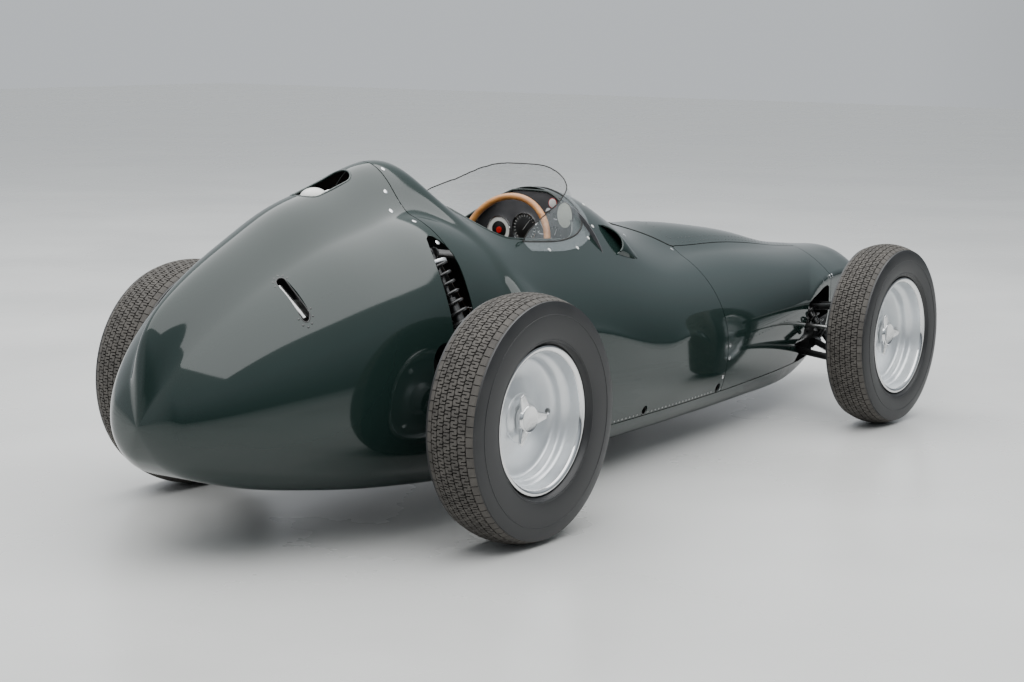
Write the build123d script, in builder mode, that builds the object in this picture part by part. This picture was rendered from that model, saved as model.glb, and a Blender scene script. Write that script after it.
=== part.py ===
from build123d import *
import os
from collections import namedtuple
from math import cos, radians, sin

os.makedirs("parts", exist_ok=True)

# Frame: +Z up, the nose points to -Y, the driver's left is +X, millimetres.
# The origin is on the ground, under the middle of the car's length and width.

# ---- driving dimensions -------------------------------------------------------------------
wheelbase = 2286.0
nose_overhang = 864.0
tail_overhang = 873.0
rear_axle_y = (wheelbase + nose_overhang - tail_overhang) / 2
front_axle_y = rear_axle_y - wheelbase

rear_track = 1290.0
front_track = 1340.0
rear_tyre_radius = 358.0
front_tyre_radius = 334.0
rear_tyre_width = 180.0
front_tyre_width = 164.0
bead_radius = 203.0
flange_radius = 214.0

skin = 6.0                 # the body panels, thicker than real sheet so that they stay closed solids
running_gap = 0.05         # a shaft in its bearing
panel_gap = 0.5            # the joint between two rigid pieces of different bodies

steer_arm = 130.0          # from the kingpin forward to the track rod
kingpin_x = 548.0
steering_wheel_radius = 168.0
column_tilt = 18.0
column_centre_aft = -800.0
column_centre_z = 738.0

pipe_radius = 36.0
pipe_port_aft = -1850.0
pipe_port_z = 330.0

floor_split_z = 180.0      # the belly pan meets the side panels here
lid_rear_half = 160.0
lid_front_half = 70.0
lid_side_z = 600.0
bonnet_front_aft = -2700.0
bonnet_rear_aft = -1600.0
tail_seam_aft = -75.0
cockpit_half_width = 262.0


def at(aft):
    """Y of a place that is given as its distance behind the rear axle."""
    return rear_axle_y + aft


# ---- the body's shape ---------------------------------------------------------------------
# aft: distance behind the rear axle; side: half the width at the waist; waist, floor, crown:
# heights; corner: run of the lower corner; power: squareness of the upper side (2 is an ellipse);
# hump and hump_top: half-width and top of the raised middle (lid, scuttle hoop, headrest).
Station = namedtuple("Station", "aft side waist floor crown corner power hump hump_top")
stations = [
    Station(-3150, 140, 398, 286, 512, 80, 2.00, 80, 512),
    Station(-3080, 168, 398, 262, 548, 110, 2.00, 95, 548),
    Station(-2900, 208, 396, 218, 576, 120, 2.00, 120, 576),
    Station(-2700, 243, 392, 172, 594, 105, 2.00, 100, 596),
    Station(-2490, 283, 384, 135, 616, 85, 2.00, 105, 624),
    Station(-2286, 318, 375, 114, 640, 75, 2.00, 120, 669),
    Station(-1950, 365, 355, 112, 676, 85, 2.00, 145, 724),
    Station(-1600, 403, 345, 112, 700, 100, 2.00, 175, 760),
    Station(-1440, 415, 347, 112, 716, 105, 2.02, 215, 768),
    Station(-1280, 425, 350, 112, 738, 105, 2.05, 262, 806),
    Station(-1110, 431, 355, 112, 765, 105, 2.10, 292, 890),
    Station(-950, 436, 360, 112, 790, 105, 2.20, 310, 925),
    Station(-720, 439, 372, 112, 820, 105, 2.28, 318, 934),
    Station(-500, 440, 385, 114, 845, 105, 2.35, 318, 935),
    Station(-320, 440, 392, 116, 888, 107, 2.42, 300, 930),
    Station(-250, 439, 394, 118, 900, 109, 2.45, 240, 985),
    Station(-185, 439, 398, 120, 912, 112, 2.47, 185, 1040),
    Station(-75, 437, 402, 125, 925, 120, 2.50, 150, 1053),
    Station(110, 428, 404, 136, 903, 140, 2.42, 148, 999),
    Station(300, 405, 405, 150, 862, 165, 2.30, 140, 948),
    Station(450, 363, 403, 168, 808, 168, 2.22, 128, 885),
    Station(600, 305, 400, 190, 738, 170, 2.15, 115, 813),
    Station(720, 240, 395, 222, 655, 155, 2.08, 95, 744),
    Station(800, 178, 390, 255, 572, 125, 2.04, 70, 682),
    Station(850, 112, 386, 300, 488, 80, 2.00, 45, 600),
    Station(873, 44, 385, 345, 425, 36, 2.00, 20, 450),
]


def side_height(station, x):
    """Height of the upper side at a distance x from the middle, without the hump."""
    share = (1 - (abs(x) / station.side) ** station.power) ** (1 / station.power)
    return station.waist + (station.crown - station.waist) * share


def shoulder(station, degrees):
    """A point of the upper side, 0 at the waist and 90 at the crown."""
    turn = radians(degrees)
    x = station.side * cos(turn) ** (2 / station.power)
    rise = (station.crown - station.waist) * sin(turn) ** (2 / station.power)
    return x, station.waist + rise


def shrunk(station, inset):
    """The same station moved inwards by a wall's thickness."""
    return station._replace(
        side=station.side - inset,
        floor=station.floor + inset,
        crown=station.crown - inset,
        corner=max(station.corner - inset, 5),
        hump=station.hump - inset / 2,
        hump_top=station.hump_top - inset,
    )


def section(station, inset=0.0):
    """One closed cross-section: a flat floor, and four arcs up each side to the top arc."""
    shape = shrunk(station, inset)
    plane = Plane(origin=(0, at(shape.aft), 0), x_dir=(1, 0, 0), z_dir=(0, -1, 0))
    flat = shape.side - shape.corner
    low = shape.floor + (shape.waist - shape.floor) * (1 - cos(radians(45)))
    corner_point = (flat + shape.corner * sin(radians(45)), low)
    flank_point = shoulder(shape, 20)
    shoulder_point = shoulder(shape, 38)
    foot = (shape.hump, side_height(shape, shape.hump))
    between_x = (shoulder_point[0] + foot[0]) / 2
    between = (between_x, side_height(shape, between_x))
    top = (0, shape.hump_top)
    with BuildSketch(plane) as outline:
        with BuildLine():
            Line((-flat, shape.floor), (flat, shape.floor))
            ThreePointArc((flat, shape.floor), corner_point, (shape.side, shape.waist))
            ThreePointArc((shape.side, shape.waist), flank_point, shoulder_point)
            ThreePointArc(shoulder_point, between, foot)
            ThreePointArc(foot, top, (-foot[0], foot[1]))
            ThreePointArc((-foot[0], foot[1]), (-between[0], between[1]),
                          (-shoulder_point[0], shoulder_point[1]))
            ThreePointArc((-shoulder_point[0], shoulder_point[1]),
                          (-flank_point[0], flank_point[1]), (-shape.side, shape.waist))
            ThreePointArc((-shape.side, shape.waist), (-corner_point[0], low),
                          (-flat, shape.floor))
        make_face()
    return outline.sketch


def hull(first_aft, last_aft, inset=0.0):
    """A solid through the stations from one place to another."""
    chosen = [station for station in stations if first_aft <= station.aft <= last_aft]
    with BuildPart() as solid:
        loft(sections=[section(station, inset) for station in chosen], ruled=True)
    return solid.part


def block(low, high):
    """A box from its lowest to its highest corner."""
    size = [high[i] - low[i] for i in range(3)]
    middle = [(high[i] + low[i]) / 2 for i in range(3)]
    with BuildPart() as solid:
        with Locations(Location(tuple(middle))):
            Box(*size)
    return solid.part


def rod(start, end, radius):
    """A round bar between two points."""
    run = Vector(*end) - Vector(*start)
    with BuildPart() as solid:
        with BuildSketch(Plane(origin=start, z_dir=run)):
            Circle(radius)
        extrude(amount=run.length)
    return solid.part


def ball(centre, radius):
    """A sphere at a point."""
    with BuildPart() as solid:
        with Locations(Location(tuple(centre))):
            Sphere(radius)
    return solid.part


def save(piece, name):
    """Label a finished piece and write it."""
    piece.part.label = name
    export_step(piece.part, f"parts/{name}.step")


far = 3000.0               # past the car on every side

print("body panels")
cockpit_outer = hull(bonnet_rear_aft, tail_seam_aft)

# ---- nose cowl ----------------------------------------------------------------------------
with BuildPart() as nose_cowl:
    add(hull(-nose_overhang - wheelbase, bonnet_front_aft))
    add(hull(-nose_overhang - wheelbase, bonnet_front_aft, skin), mode=Mode.SUBTRACT)
save(nose_cowl, "nose_cowl")

# ---- bonnet: lid and two sides with the suspension cut-outs -------------------------------
with BuildPart() as bonnet_shell:
    add(hull(bonnet_front_aft, bonnet_rear_aft))
    add(hull(bonnet_front_aft, bonnet_rear_aft, skin), mode=Mode.SUBTRACT)

with BuildPart() as lid_zone:
    with BuildSketch(Plane.XY.offset(lid_side_z - 60)):
        with BuildLine():
            Polyline((-lid_front_half, at(bonnet_front_aft)), (lid_front_half, at(bonnet_front_aft)),
                     (lid_rear_half, at(bonnet_rear_aft)), (-lid_rear_half, at(bonnet_rear_aft)),
                     close=True)
        make_face()
    extrude(amount=far)
with BuildPart() as bonnet_lid:
    add(bonnet_shell.part)
    add(lid_zone.part, mode=Mode.INTERSECT)
save(bonnet_lid, "bonnet_lid")

# the cut-out's edge in side view, rear edge first, given as (aft, z)
cutout_edge = [(-2190, 100), (-2194, 121), (-2279, 153), (-2350, 216), (-2264, 258), (-2314, 283),
               (-2368, 290), (-2385, 345), (-2415, 408), (-2526, 424), (-2632, 447), (-2680, 440),
               (-2680, 100)]
with BuildPart() as suspension_cutout:
    with BuildSketch(Plane.YZ.offset(-far / 2)):
        with BuildLine():
            Polyline(*[(at(aft), z) for aft, z in cutout_edge], close=True)
        make_face()
    extrude(amount=far)

for side, side_name in ((1, "left"), (-1, "right")):
    half = block((min(0, side * far), at(bonnet_front_aft), floor_split_z),
                 (max(0, side * far), at(bonnet_rear_aft), far))
    with BuildPart() as bonnet_side:
        add(bonnet_shell.part)
        add(half, mode=Mode.INTERSECT)
        add(lid_zone.part, mode=Mode.SUBTRACT)
        add(suspension_cutout.part, mode=Mode.SUBTRACT)
        if side == 1:
            add(rod((0, at(pipe_port_aft), pipe_port_z), (far, at(pipe_port_aft), pipe_port_z),
                    pipe_radius + 8), mode=Mode.SUBTRACT)
    save(bonnet_side, f"bonnet_side_{side_name}")

# ---- cockpit section ----------------------------------------------------------------------
opening_front_aft = -950.0
opening_front_radius = 55.0
opening_rear_aft = -330.0
opening_rear_radius = 150.0
with BuildPart() as cockpit_opening:
    with BuildSketch(Plane.XY.offset(560)):
        with Locations((0, at((opening_front_aft + opening_rear_aft) / 2))):
            Rectangle(2 * cockpit_half_width, opening_rear_aft - opening_front_aft)
        fillet(vertices().group_by(Axis.Y)[0], opening_front_radius)
        fillet(vertices().group_by(Axis.Y)[-1], opening_rear_radius)
    extrude(amount=far)

# the flank opening round the rear hub: a wide port for the axle, and the spring unit's slot above
port_low_z = 225.0
port_high_z = 560.0
port_fore_aft = -135.0
port_rear_aft = 125.0
port_corner = 60.0
slot_fore_aft = -82.0
slot_rear_aft = 18.0
slot_top_z = 864.0
with BuildPart() as flank_opening:
    with BuildSketch(Plane.YZ.offset(-far / 2)):
        with Locations((at((port_fore_aft + port_rear_aft) / 2), (port_low_z + port_high_z) / 2)):
            RectangleRounded(port_rear_aft - port_fore_aft, port_high_z - port_low_z, port_corner)
        with Locations((at((slot_fore_aft + slot_rear_aft) / 2), (port_high_z + slot_top_z) / 2)):
            RectangleRounded(slot_rear_aft - slot_fore_aft, slot_top_z - port_high_z + 80, 40)
    extrude(amount=far)
core = block((-200, -far, -far), (200, far, far))
with BuildPart() as flank_openings:
    add(flank_opening.part)
    add(core, mode=Mode.SUBTRACT)

# two jacking sockets in each flank
jack_radius = 12.0
jack_boss_radius = 16.0
jack_hole_radius = 17.5
jack_depth = 40.0
jack_z = 198.0
jack_points = [(-1036, 405), (-1564, 377)]     # aft, and how far out the socket's mouth is
joint_gap = 0.6            # where two of the cockpit's panels meet

# the cockpit's panels meet at the dash, and down the middle of the headrest
with BuildPart() as panel_joints:
    add(block((-far, at(opening_front_aft - 2), -far),
              (far, at(opening_front_aft - 2) + joint_gap, far)))
    add(block((-joint_gap / 2, at(opening_front_aft - 2), -far), (joint_gap / 2, far, far)))

with BuildPart() as cockpit_section:
    add(cockpit_outer)
    add(hull(bonnet_rear_aft, tail_seam_aft, skin), mode=Mode.SUBTRACT)
    add(block((-far, -far, floor_split_z), (far, far, far)), mode=Mode.INTERSECT)
    add(cockpit_opening.part, mode=Mode.SUBTRACT)
    add(flank_openings.part, mode=Mode.SUBTRACT)
    add(panel_joints.part, mode=Mode.SUBTRACT)
    for aft, mouth in jack_points:
        add(rod((-far / 2, at(aft), jack_z), (far / 2, at(aft), jack_z), jack_hole_radius),
            mode=Mode.SUBTRACT)
save(cockpit_section, "cockpit_section")

# ---- belly pan ----------------------------------------------------------------------------
with BuildPart() as belly_pan:
    add(bonnet_shell.part)
    add(cockpit_outer)
    add(hull(bonnet_rear_aft, tail_seam_aft, skin), mode=Mode.SUBTRACT)
    add(block((-far, -far, -far), (far, far, floor_split_z)), mode=Mode.INTERSECT)
save(belly_pan, "belly_pan")

# ---- tail shell ---------------------------------------------------------------------------
filler_aft = 120.0
filler_opening_length = 215.0
filler_opening_width = 96.0
brake_disc_aft = 405.0
brake_disc_radius = 130.0
brake_disc_z = 272.0
disc_thickness = 12.0
slot_half_thickness = 14.0
side_slot_x = 216.0        # the middle of the slot in each upper flank
side_slot_aft = 488.0
side_slot_run = 92.0
side_slot_width = 30.0
side_slot_turn = 5.0
with BuildPart() as filler_hole:
    with BuildSketch(Plane.XY.offset(880)):
        with Locations((0, at(filler_aft))):
            SlotOverall(filler_opening_length, filler_opening_width, rotation=90)
    extrude(amount=far)
with BuildPart() as side_slots:
    with BuildSketch(Plane.XY.offset(560)):
        for side in (1, -1):
            with Locations((side * side_slot_x, at(side_slot_aft))):
                SlotCenterToCenter(side_slot_run, side_slot_width, rotation=side * side_slot_turn)
    extrude(amount=far)
with BuildPart() as tail_shell:
    add(hull(tail_seam_aft, tail_overhang))
    add(hull(tail_seam_aft, tail_overhang - 20, skin), mode=Mode.SUBTRACT)
    add(flank_openings.part, mode=Mode.SUBTRACT)
    add(filler_hole.part, mode=Mode.SUBTRACT)
    add(side_slots.part, mode=Mode.SUBTRACT)
    disc_slot_y = at(brake_disc_aft)
    add(block((-110, disc_slot_y - slot_half_thickness, 100),
              (110, disc_slot_y + slot_half_thickness, 200)), mode=Mode.SUBTRACT)
save(tail_shell, "tail_shell")
print("body done")

# ---- chassis ------------------------------------------------------------------------------
print("chassis")
rail_radius = 20.0
brace_radius = 16.0
rail_bend = 70.0
weld_gap = 0.05            # every tube is a piece of its own, held off the next by this gap
# the rails of one side from front to rear, (x, aft, z)
lower_rail = [(165, -2680, 250), (215, -2286, 225), (270, -1600, 225), (300, -900, 225),
              (300, -160, 225), (150, 300, 235)]
upper_rail = [(140, -2680, 480), (150, -2286, 545), (225, -1600, 585), (315, -950, 590),
              (325, -160, 590), (255, -60, 795)]
# x, aft and z of both ends
Tube = namedtuple("Tube", "x1 aft1 z1 x2 aft2 z2")
uprights = [
    Tube(165, -2655, 249, 140, -2655, 483),
    Tube(215, -2286, 225, 150, -2286, 545),
    Tube(270, -1600, 225, 225, -1600, 585),
    Tube(300, -900, 225, 315, -900, 590),
    Tube(300, -175, 225, 325, -175, 590),
]
cross_tubes = [
    Tube(-160, -2652, 250, 160, -2652, 250),
    Tube(-140, -2652, 482, 140, -2652, 482),
    Tube(-215, -2280, 225, 215, -2280, 225),
    Tube(-150, -2280, 545, 150, -2280, 545),
    Tube(-270, -1590, 225, 270, -1590, 225),
    Tube(-300, -890, 225, 300, -890, 225),
    Tube(-300, -720, 225, 300, -720, 225),
    Tube(-300, -480, 225, 300, -480, 225),
    Tube(-320, -331, 590, 320, -331, 590),
    Tube(-264, -72, 769, 264, -72, 769),
    Tube(-160, 272, 235, 160, 272, 235),
]

# brackets from the rails to what they carry, each on both sides, (x, aft, z) of both ends
engine_half = 120.0
gearbox_half = 115.0
tank_floor_z = 430.0
spring_top_rear = (292, -30, 800)
spring_top_front = (150, -2458, 515)
bracket_radius = 12.0
brackets = [
    ((235, -2050, 235), (engine_half, -2050, 235)),
    ((262, -1700, 235), (engine_half, -1700, 235)),
    ((295, -220, 228), (gearbox_half, -220, 228)),
    ((110, 272, 235), (110, 272, tank_floor_z)),
]


def tube_ends(tube, mirror_side):
    """Both ends of a tube, on one side of the car."""
    return ((mirror_side * tube.x1, at(tube.aft1), tube.z1),
            (mirror_side * tube.x2, at(tube.aft2), tube.z2))


def rail(points, mirror_side, radius):
    """A round tube along a run of points, bent at each."""
    with BuildPart() as solid:
        with BuildLine() as run:
            FilletPolyline(*[(mirror_side * x, at(aft), z) for x, aft, z in points],
                           radius=rail_bend)
        with BuildSketch(Plane(origin=run.line @ 0, z_dir=run.line % 0)):
            Circle(radius)
        sweep(path=run.line)
    return solid.part


def side_rails(mirror_side, allowance=0.0):
    """Both long rails of one side, made thicker by an allowance."""
    with BuildPart() as solid:
        add(rail(lower_rail, mirror_side, rail_radius + allowance))
        add(rail(upper_rail, mirror_side, rail_radius + allowance))
    return solid.part


def side_posts(mirror_side, allowance=0.0):
    """The uprights of one side, made thicker by an allowance."""
    with BuildPart() as solid:
        for tube in uprights:
            add(rod(*tube_ends(tube, mirror_side), brace_radius + allowance))
    return solid.part


# the rails are joined from shorter lengths at these stations and at one height in the hoop
rail_joints = [-1943, -1260, -540]
hoop_joint_z = 640.0
hoop_reach = 360.0

with BuildPart() as rails:
    for side in (1, -1):
        add(side_rails(side))
    for joint in rail_joints:
        add(block((-far, at(joint), 0), (far, at(joint) + weld_gap, far)), mode=Mode.SUBTRACT)
    add(block((-hoop_reach, at(-160), hoop_joint_z),
              (hoop_reach, at(0), hoop_joint_z + weld_gap)), mode=Mode.SUBTRACT)

with BuildPart() as posts:
    for side in (1, -1):
        add(side_posts(side))
        add(side_rails(side, weld_gap), mode=Mode.SUBTRACT)

with BuildPart() as cross_members:
    for tube in cross_tubes:
        add(rod(*tube_ends(tube, 1), brace_radius))
    for side in (1, -1):
        for start, end in brackets:
            add(rod((side * start[0], at(start[1]), start[2]),
                    (side * end[0], at(end[1]), end[2]), bracket_radius))
    for side in (1, -1):
        add(side_rails(side, weld_gap), mode=Mode.SUBTRACT)
        add(side_posts(side, weld_gap), mode=Mode.SUBTRACT)

with BuildPart() as chassis_frame:
    add(rails.part)
    add(posts.part)
    add(cross_members.part)
save(chassis_frame, "chassis_frame")

jack_inner_x = 280.0
with BuildPart() as jack_sockets:
    for side in (1, -1):
        for aft, mouth in jack_points:
            add(rod((side * jack_inner_x, at(aft), jack_z), (side * mouth, at(aft), jack_z),
                    jack_boss_radius))
            add(rod((side * (mouth - jack_depth), at(aft), jack_z),
                    (side * (mouth + 5), at(aft), jack_z), jack_radius), mode=Mode.SUBTRACT)
        add(rail(lower_rail, side, rail_radius + weld_gap), mode=Mode.SUBTRACT)
save(jack_sockets, "jack_sockets")

with BuildPart() as engine_block:
    add(block((-engine_half, at(-2160), 215), (engine_half, at(-1640), 610)))
save(engine_block, "engine_block")

with BuildPart() as radiator:
    add(block((-118, at(-2634), 250), (118, at(-2580), 480)))
save(radiator, "radiator")

with BuildPart() as fuel_tank:
    add(block((-170, at(60), tank_floor_z), (170, at(620), 640)))
    chamfer(fuel_tank.edges().filter_by(Axis.Y), 40)
save(fuel_tank, "fuel_tank")

filler_radius = 38.0
filler_top_z = 962.0
with BuildPart() as filler_neck:
    add(rod((0, at(filler_aft), 640), (0, at(filler_aft), filler_top_z), filler_radius))
    add(rod((0, at(filler_aft), filler_top_z - 22), (0, at(filler_aft), filler_top_z), 46))
    with Locations((0, at(filler_aft), filler_top_z)):
        Cylinder(42, 12, align=(Align.CENTER, Align.CENTER, Align.MIN))
    chamfer(filler_neck.faces().sort_by(Axis.Z)[-1].edges(), 8)
save(filler_neck, "filler_neck")

half_shaft_radius = 18.0
half_shaft_inner_x = 92.0
disc_shaft_radius = 14.0
gearbox_low = (-gearbox_half, at(-330), 190)
gearbox_high = (gearbox_half, at(130), 426)
axle_z = rear_tyre_radius
with BuildPart() as gearbox:
    add(block(gearbox_low, gearbox_high))
    chamfer(gearbox.edges().filter_by(Axis.Y), 30)
    for side in (1, -1):
        add(rod((side * (half_shaft_inner_x - 4), rear_axle_y, axle_z),
                (side * (gearbox_half + 5), rear_axle_y, axle_z),
                half_shaft_radius + running_gap), mode=Mode.SUBTRACT)
    add(rod((0, at(80), brake_disc_z), (0, at(140), brake_disc_z),
            disc_shaft_radius + running_gap), mode=Mode.SUBTRACT)
save(gearbox, "gearbox")

with BuildPart() as brake_disc:
    add(rod((0, at(brake_disc_aft - disc_thickness / 2), brake_disc_z),
            (0, at(brake_disc_aft + disc_thickness / 2), brake_disc_z), brake_disc_radius))
    add(rod((0, at(85), brake_disc_z), (0, at(brake_disc_aft + 20), brake_disc_z),
            disc_shaft_radius))
    add(rod((0, at(brake_disc_aft - 25), brake_disc_z), (0, at(brake_disc_aft), brake_disc_z), 45))
save(brake_disc, "brake_disc")

# ---- exhaust, on the driver's left --------------------------------------------------------
pipe_wall = 3.0
pipe_end_aft = -400.0
pipe_end_x = 482.0
pipe_z = 262.0
with BuildPart() as exhaust_pipe:
    with BuildLine() as pipe_run:
        FilletPolyline((engine_half, at(pipe_port_aft), pipe_port_z),
                       (470, at(pipe_port_aft), pipe_port_z),
                       (pipe_end_x, at(-1150), pipe_z),
                       (pipe_end_x, at(pipe_end_aft), pipe_z), radius=[110, 500])
    with BuildSketch(Plane(origin=pipe_run.line @ 0, z_dir=pipe_run.line % 0)):
        Circle(pipe_radius)
    sweep(path=pipe_run.line)
    add(rod((pipe_end_x, at(pipe_end_aft - 90), pipe_z), (pipe_end_x, at(pipe_end_aft + 5), pipe_z),
            pipe_radius - pipe_wall), mode=Mode.SUBTRACT)
save(exhaust_pipe, "exhaust_pipe")

# ---- suspension ---------------------------------------------------------------------------
print("suspension")
kingpin_radius = 12.0
boss_radius = 25.0
boss_height = 28.0
upper_joint_z = 425.0
lower_joint_z = 212.0
# height of the outer joint; x and z of the chassis pivots, and their aft distance from the axle
Arm = namedtuple("Arm", "joint_z x z rear front")
front_arms = [Arm(upper_joint_z, 180, 365, -254, -375), Arm(lower_joint_z, 225, 222, -110, -330)]
arm_radius = 13.0
with BuildPart() as front_wishbones:
    for side in (1, -1):
        for arm in front_arms:
            joint = (side * kingpin_x, front_axle_y, arm.joint_z)
            for offset_aft in (arm.rear, arm.front):
                pivot = (side * arm.x, front_axle_y + offset_aft, arm.z)
                add(rod(pivot, joint, arm_radius))
                add(rod((pivot[0], pivot[1] - 20, pivot[2]), (pivot[0], pivot[1] + 20, pivot[2]),
                        arm_radius + 4))
            add(rod((joint[0], joint[1], joint[2] - boss_height / 2),
                    (joint[0], joint[1], joint[2] + boss_height / 2), boss_radius))
        add(rod((side * kingpin_x, front_axle_y, lower_joint_z - boss_height),
                (side * kingpin_x, front_axle_y, upper_joint_z + boss_height),
                kingpin_radius + running_gap), mode=Mode.SUBTRACT)
save(front_wishbones, "front_wishbones")

front_coil_radius = 30.0
rear_coil_radius = 36.0
damper_radius = 16.0


def spring_unit(low, high, coil_radius, coil_start, coil_end):
    """A damper with its coil drawn as a plain sleeve, between two shares of its length."""
    run = Vector(*high) - Vector(*low)
    with BuildPart() as unit:
        add(rod(low, high, damper_radius))
        add(rod(Vector(*low) + run * coil_start, Vector(*low) + run * coil_end, coil_radius))
    return unit.part


with BuildPart() as front_spring_units:
    for side in (1, -1):
        top = (side * spring_top_front[0], at(spring_top_front[1]), spring_top_front[2])
        low = (side * 385, at(spring_top_front[1]), 232)
        add(spring_unit(low, top, front_coil_radius, 0.16, 0.84))
save(front_spring_units, "front_spring_units")

carrier_inner_x = 500.0
carrier_outer_x = 568.0
carrier_radius = 56.0
spring_low_rear = (480, -30, 450)
de_dion_path = [(522, 42, 358), (420, 95, 350), (250, 190, 350), (0, 190, 350)]
de_dion_radius = 27.0
with BuildPart() as de_dion_tube:
    for side in (1, -1):
        points = [(side * x, at(aft), z) for x, aft, z in de_dion_path]
        for start, end in zip(points, points[1:]):
            add(rod(start, end, de_dion_radius))
            add(ball(end, de_dion_radius))
        add(rod((side * carrier_inner_x, rear_axle_y, axle_z),
                (side * carrier_outer_x, rear_axle_y, axle_z), carrier_radius))
        add(block((min(side * 470, side * 510), at(-48), axle_z + 20),
                  (max(side * 470, side * 510), at(-12), spring_low_rear[2] + 10)))
        add(rod((side * 400, rear_axle_y, axle_z), (side * 580, rear_axle_y, axle_z),
                half_shaft_radius + running_gap + 6), mode=Mode.SUBTRACT)
        add(rod((side * (carrier_outer_x - 30), rear_axle_y, axle_z),
                (side * carrier_outer_x, rear_axle_y, axle_z), carrier_radius))
        add(rod((side * (carrier_outer_x - 40), rear_axle_y, axle_z),
                (side * (carrier_outer_x + 10), rear_axle_y, axle_z),
                half_shaft_radius + running_gap), mode=Mode.SUBTRACT)
save(de_dion_tube, "de_dion_tube")

with BuildPart() as rear_spring_units:
    for side in (1, -1):
        top = (side * spring_top_rear[0], at(spring_top_rear[1]), spring_top_rear[2])
        low = (side * spring_low_rear[0], at(spring_low_rear[1]), spring_low_rear[2] + 10)
        add(spring_unit(low, top, rear_coil_radius, 0.14, 0.80))
save(rear_spring_units, "rear_spring_units")

# ---- knuckles and track rod ---------------------------------------------------------------
stub_radius = 18.0
front_axle_z = front_tyre_radius
arm_z = 300.0
arm_half = 7.0
post_radius = 19.0
hub_inboard = 62.0         # from the wheel's middle plane to the hub's inner end
hub_outboard = 20.0
stub_end_x = front_track / 2 + hub_outboard - 4
for side, side_name in ((1, "left"), (-1, "right")):
    x = side * kingpin_x
    with BuildPart() as knuckle:
        add(rod((x, front_axle_y, lower_joint_z - boss_height / 2),
                (x, front_axle_y, upper_joint_z + boss_height / 2), kingpin_radius))
        add(rod((x, front_axle_y, lower_joint_z + boss_height / 2 + 6),
                (x, front_axle_y, upper_joint_z - boss_height / 2 - 6), post_radius))
        add(rod((x, front_axle_y, front_axle_z),
                (side * stub_end_x, front_axle_y, front_axle_z), stub_radius))
        add(rod((x, front_axle_y, front_axle_z),
                (side * (front_track / 2 - hub_inboard - 6), front_axle_y, front_axle_z), 34))
        add(block((x - 14, front_axle_y - steer_arm - 14, arm_z - arm_half),
                  (x + 14, front_axle_y, arm_z + arm_half)))
    save(knuckle, f"knuckle_{side_name}")

rod_end_half = 5.0
rod_gap = 2.0
track_rod_z = arm_z + arm_half + rod_gap + rod_end_half
with BuildPart() as track_rod:
    rod_y = front_axle_y - steer_arm
    add(rod((-kingpin_x, rod_y, track_rod_z), (kingpin_x, rod_y, track_rod_z), rod_end_half + 4))
    add(block((-kingpin_x - 20, rod_y - 12, track_rod_z - 12),
              (kingpin_x + 20, rod_y + 12, track_rod_z - rod_end_half)), mode=Mode.SUBTRACT)
    for side in (1, -1):
        add(rod((side * kingpin_x, rod_y, track_rod_z - rod_end_half),
                (side * kingpin_x, rod_y, track_rod_z + rod_end_half), 15))
save(track_rod, "track_rod")

# ---- wheels -------------------------------------------------------------------------------
print("wheels")
rim_half = 72.0
# outline of the rim, disc and hub: (distance outboard of the middle plane, radius)
rim_outline = [
    (72, 214), (64, 214), (60, 204), (20, 200), (12, 178), (-20, 178), (-28, 200), (-60, 204),
    (-64, 214), (-72, 214), (-68, 196), (-34, 192), (-26, 171), (-6, 171), (-14, 120), (0, 70),
    (-20, 52), (-62, 48), (-62, 18.05), (20, 18.05), (20, 48), (12, 66), (-4, 120), (4, 171),
    (18, 171), (28, 192), (68, 196),
]
disc_hole_count = 3
disc_hole_start = 62.0
disc_hole_radius = 9.0
disc_hole_circle = 148.0
ear_length = 76.0
ear_count = 3
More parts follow.
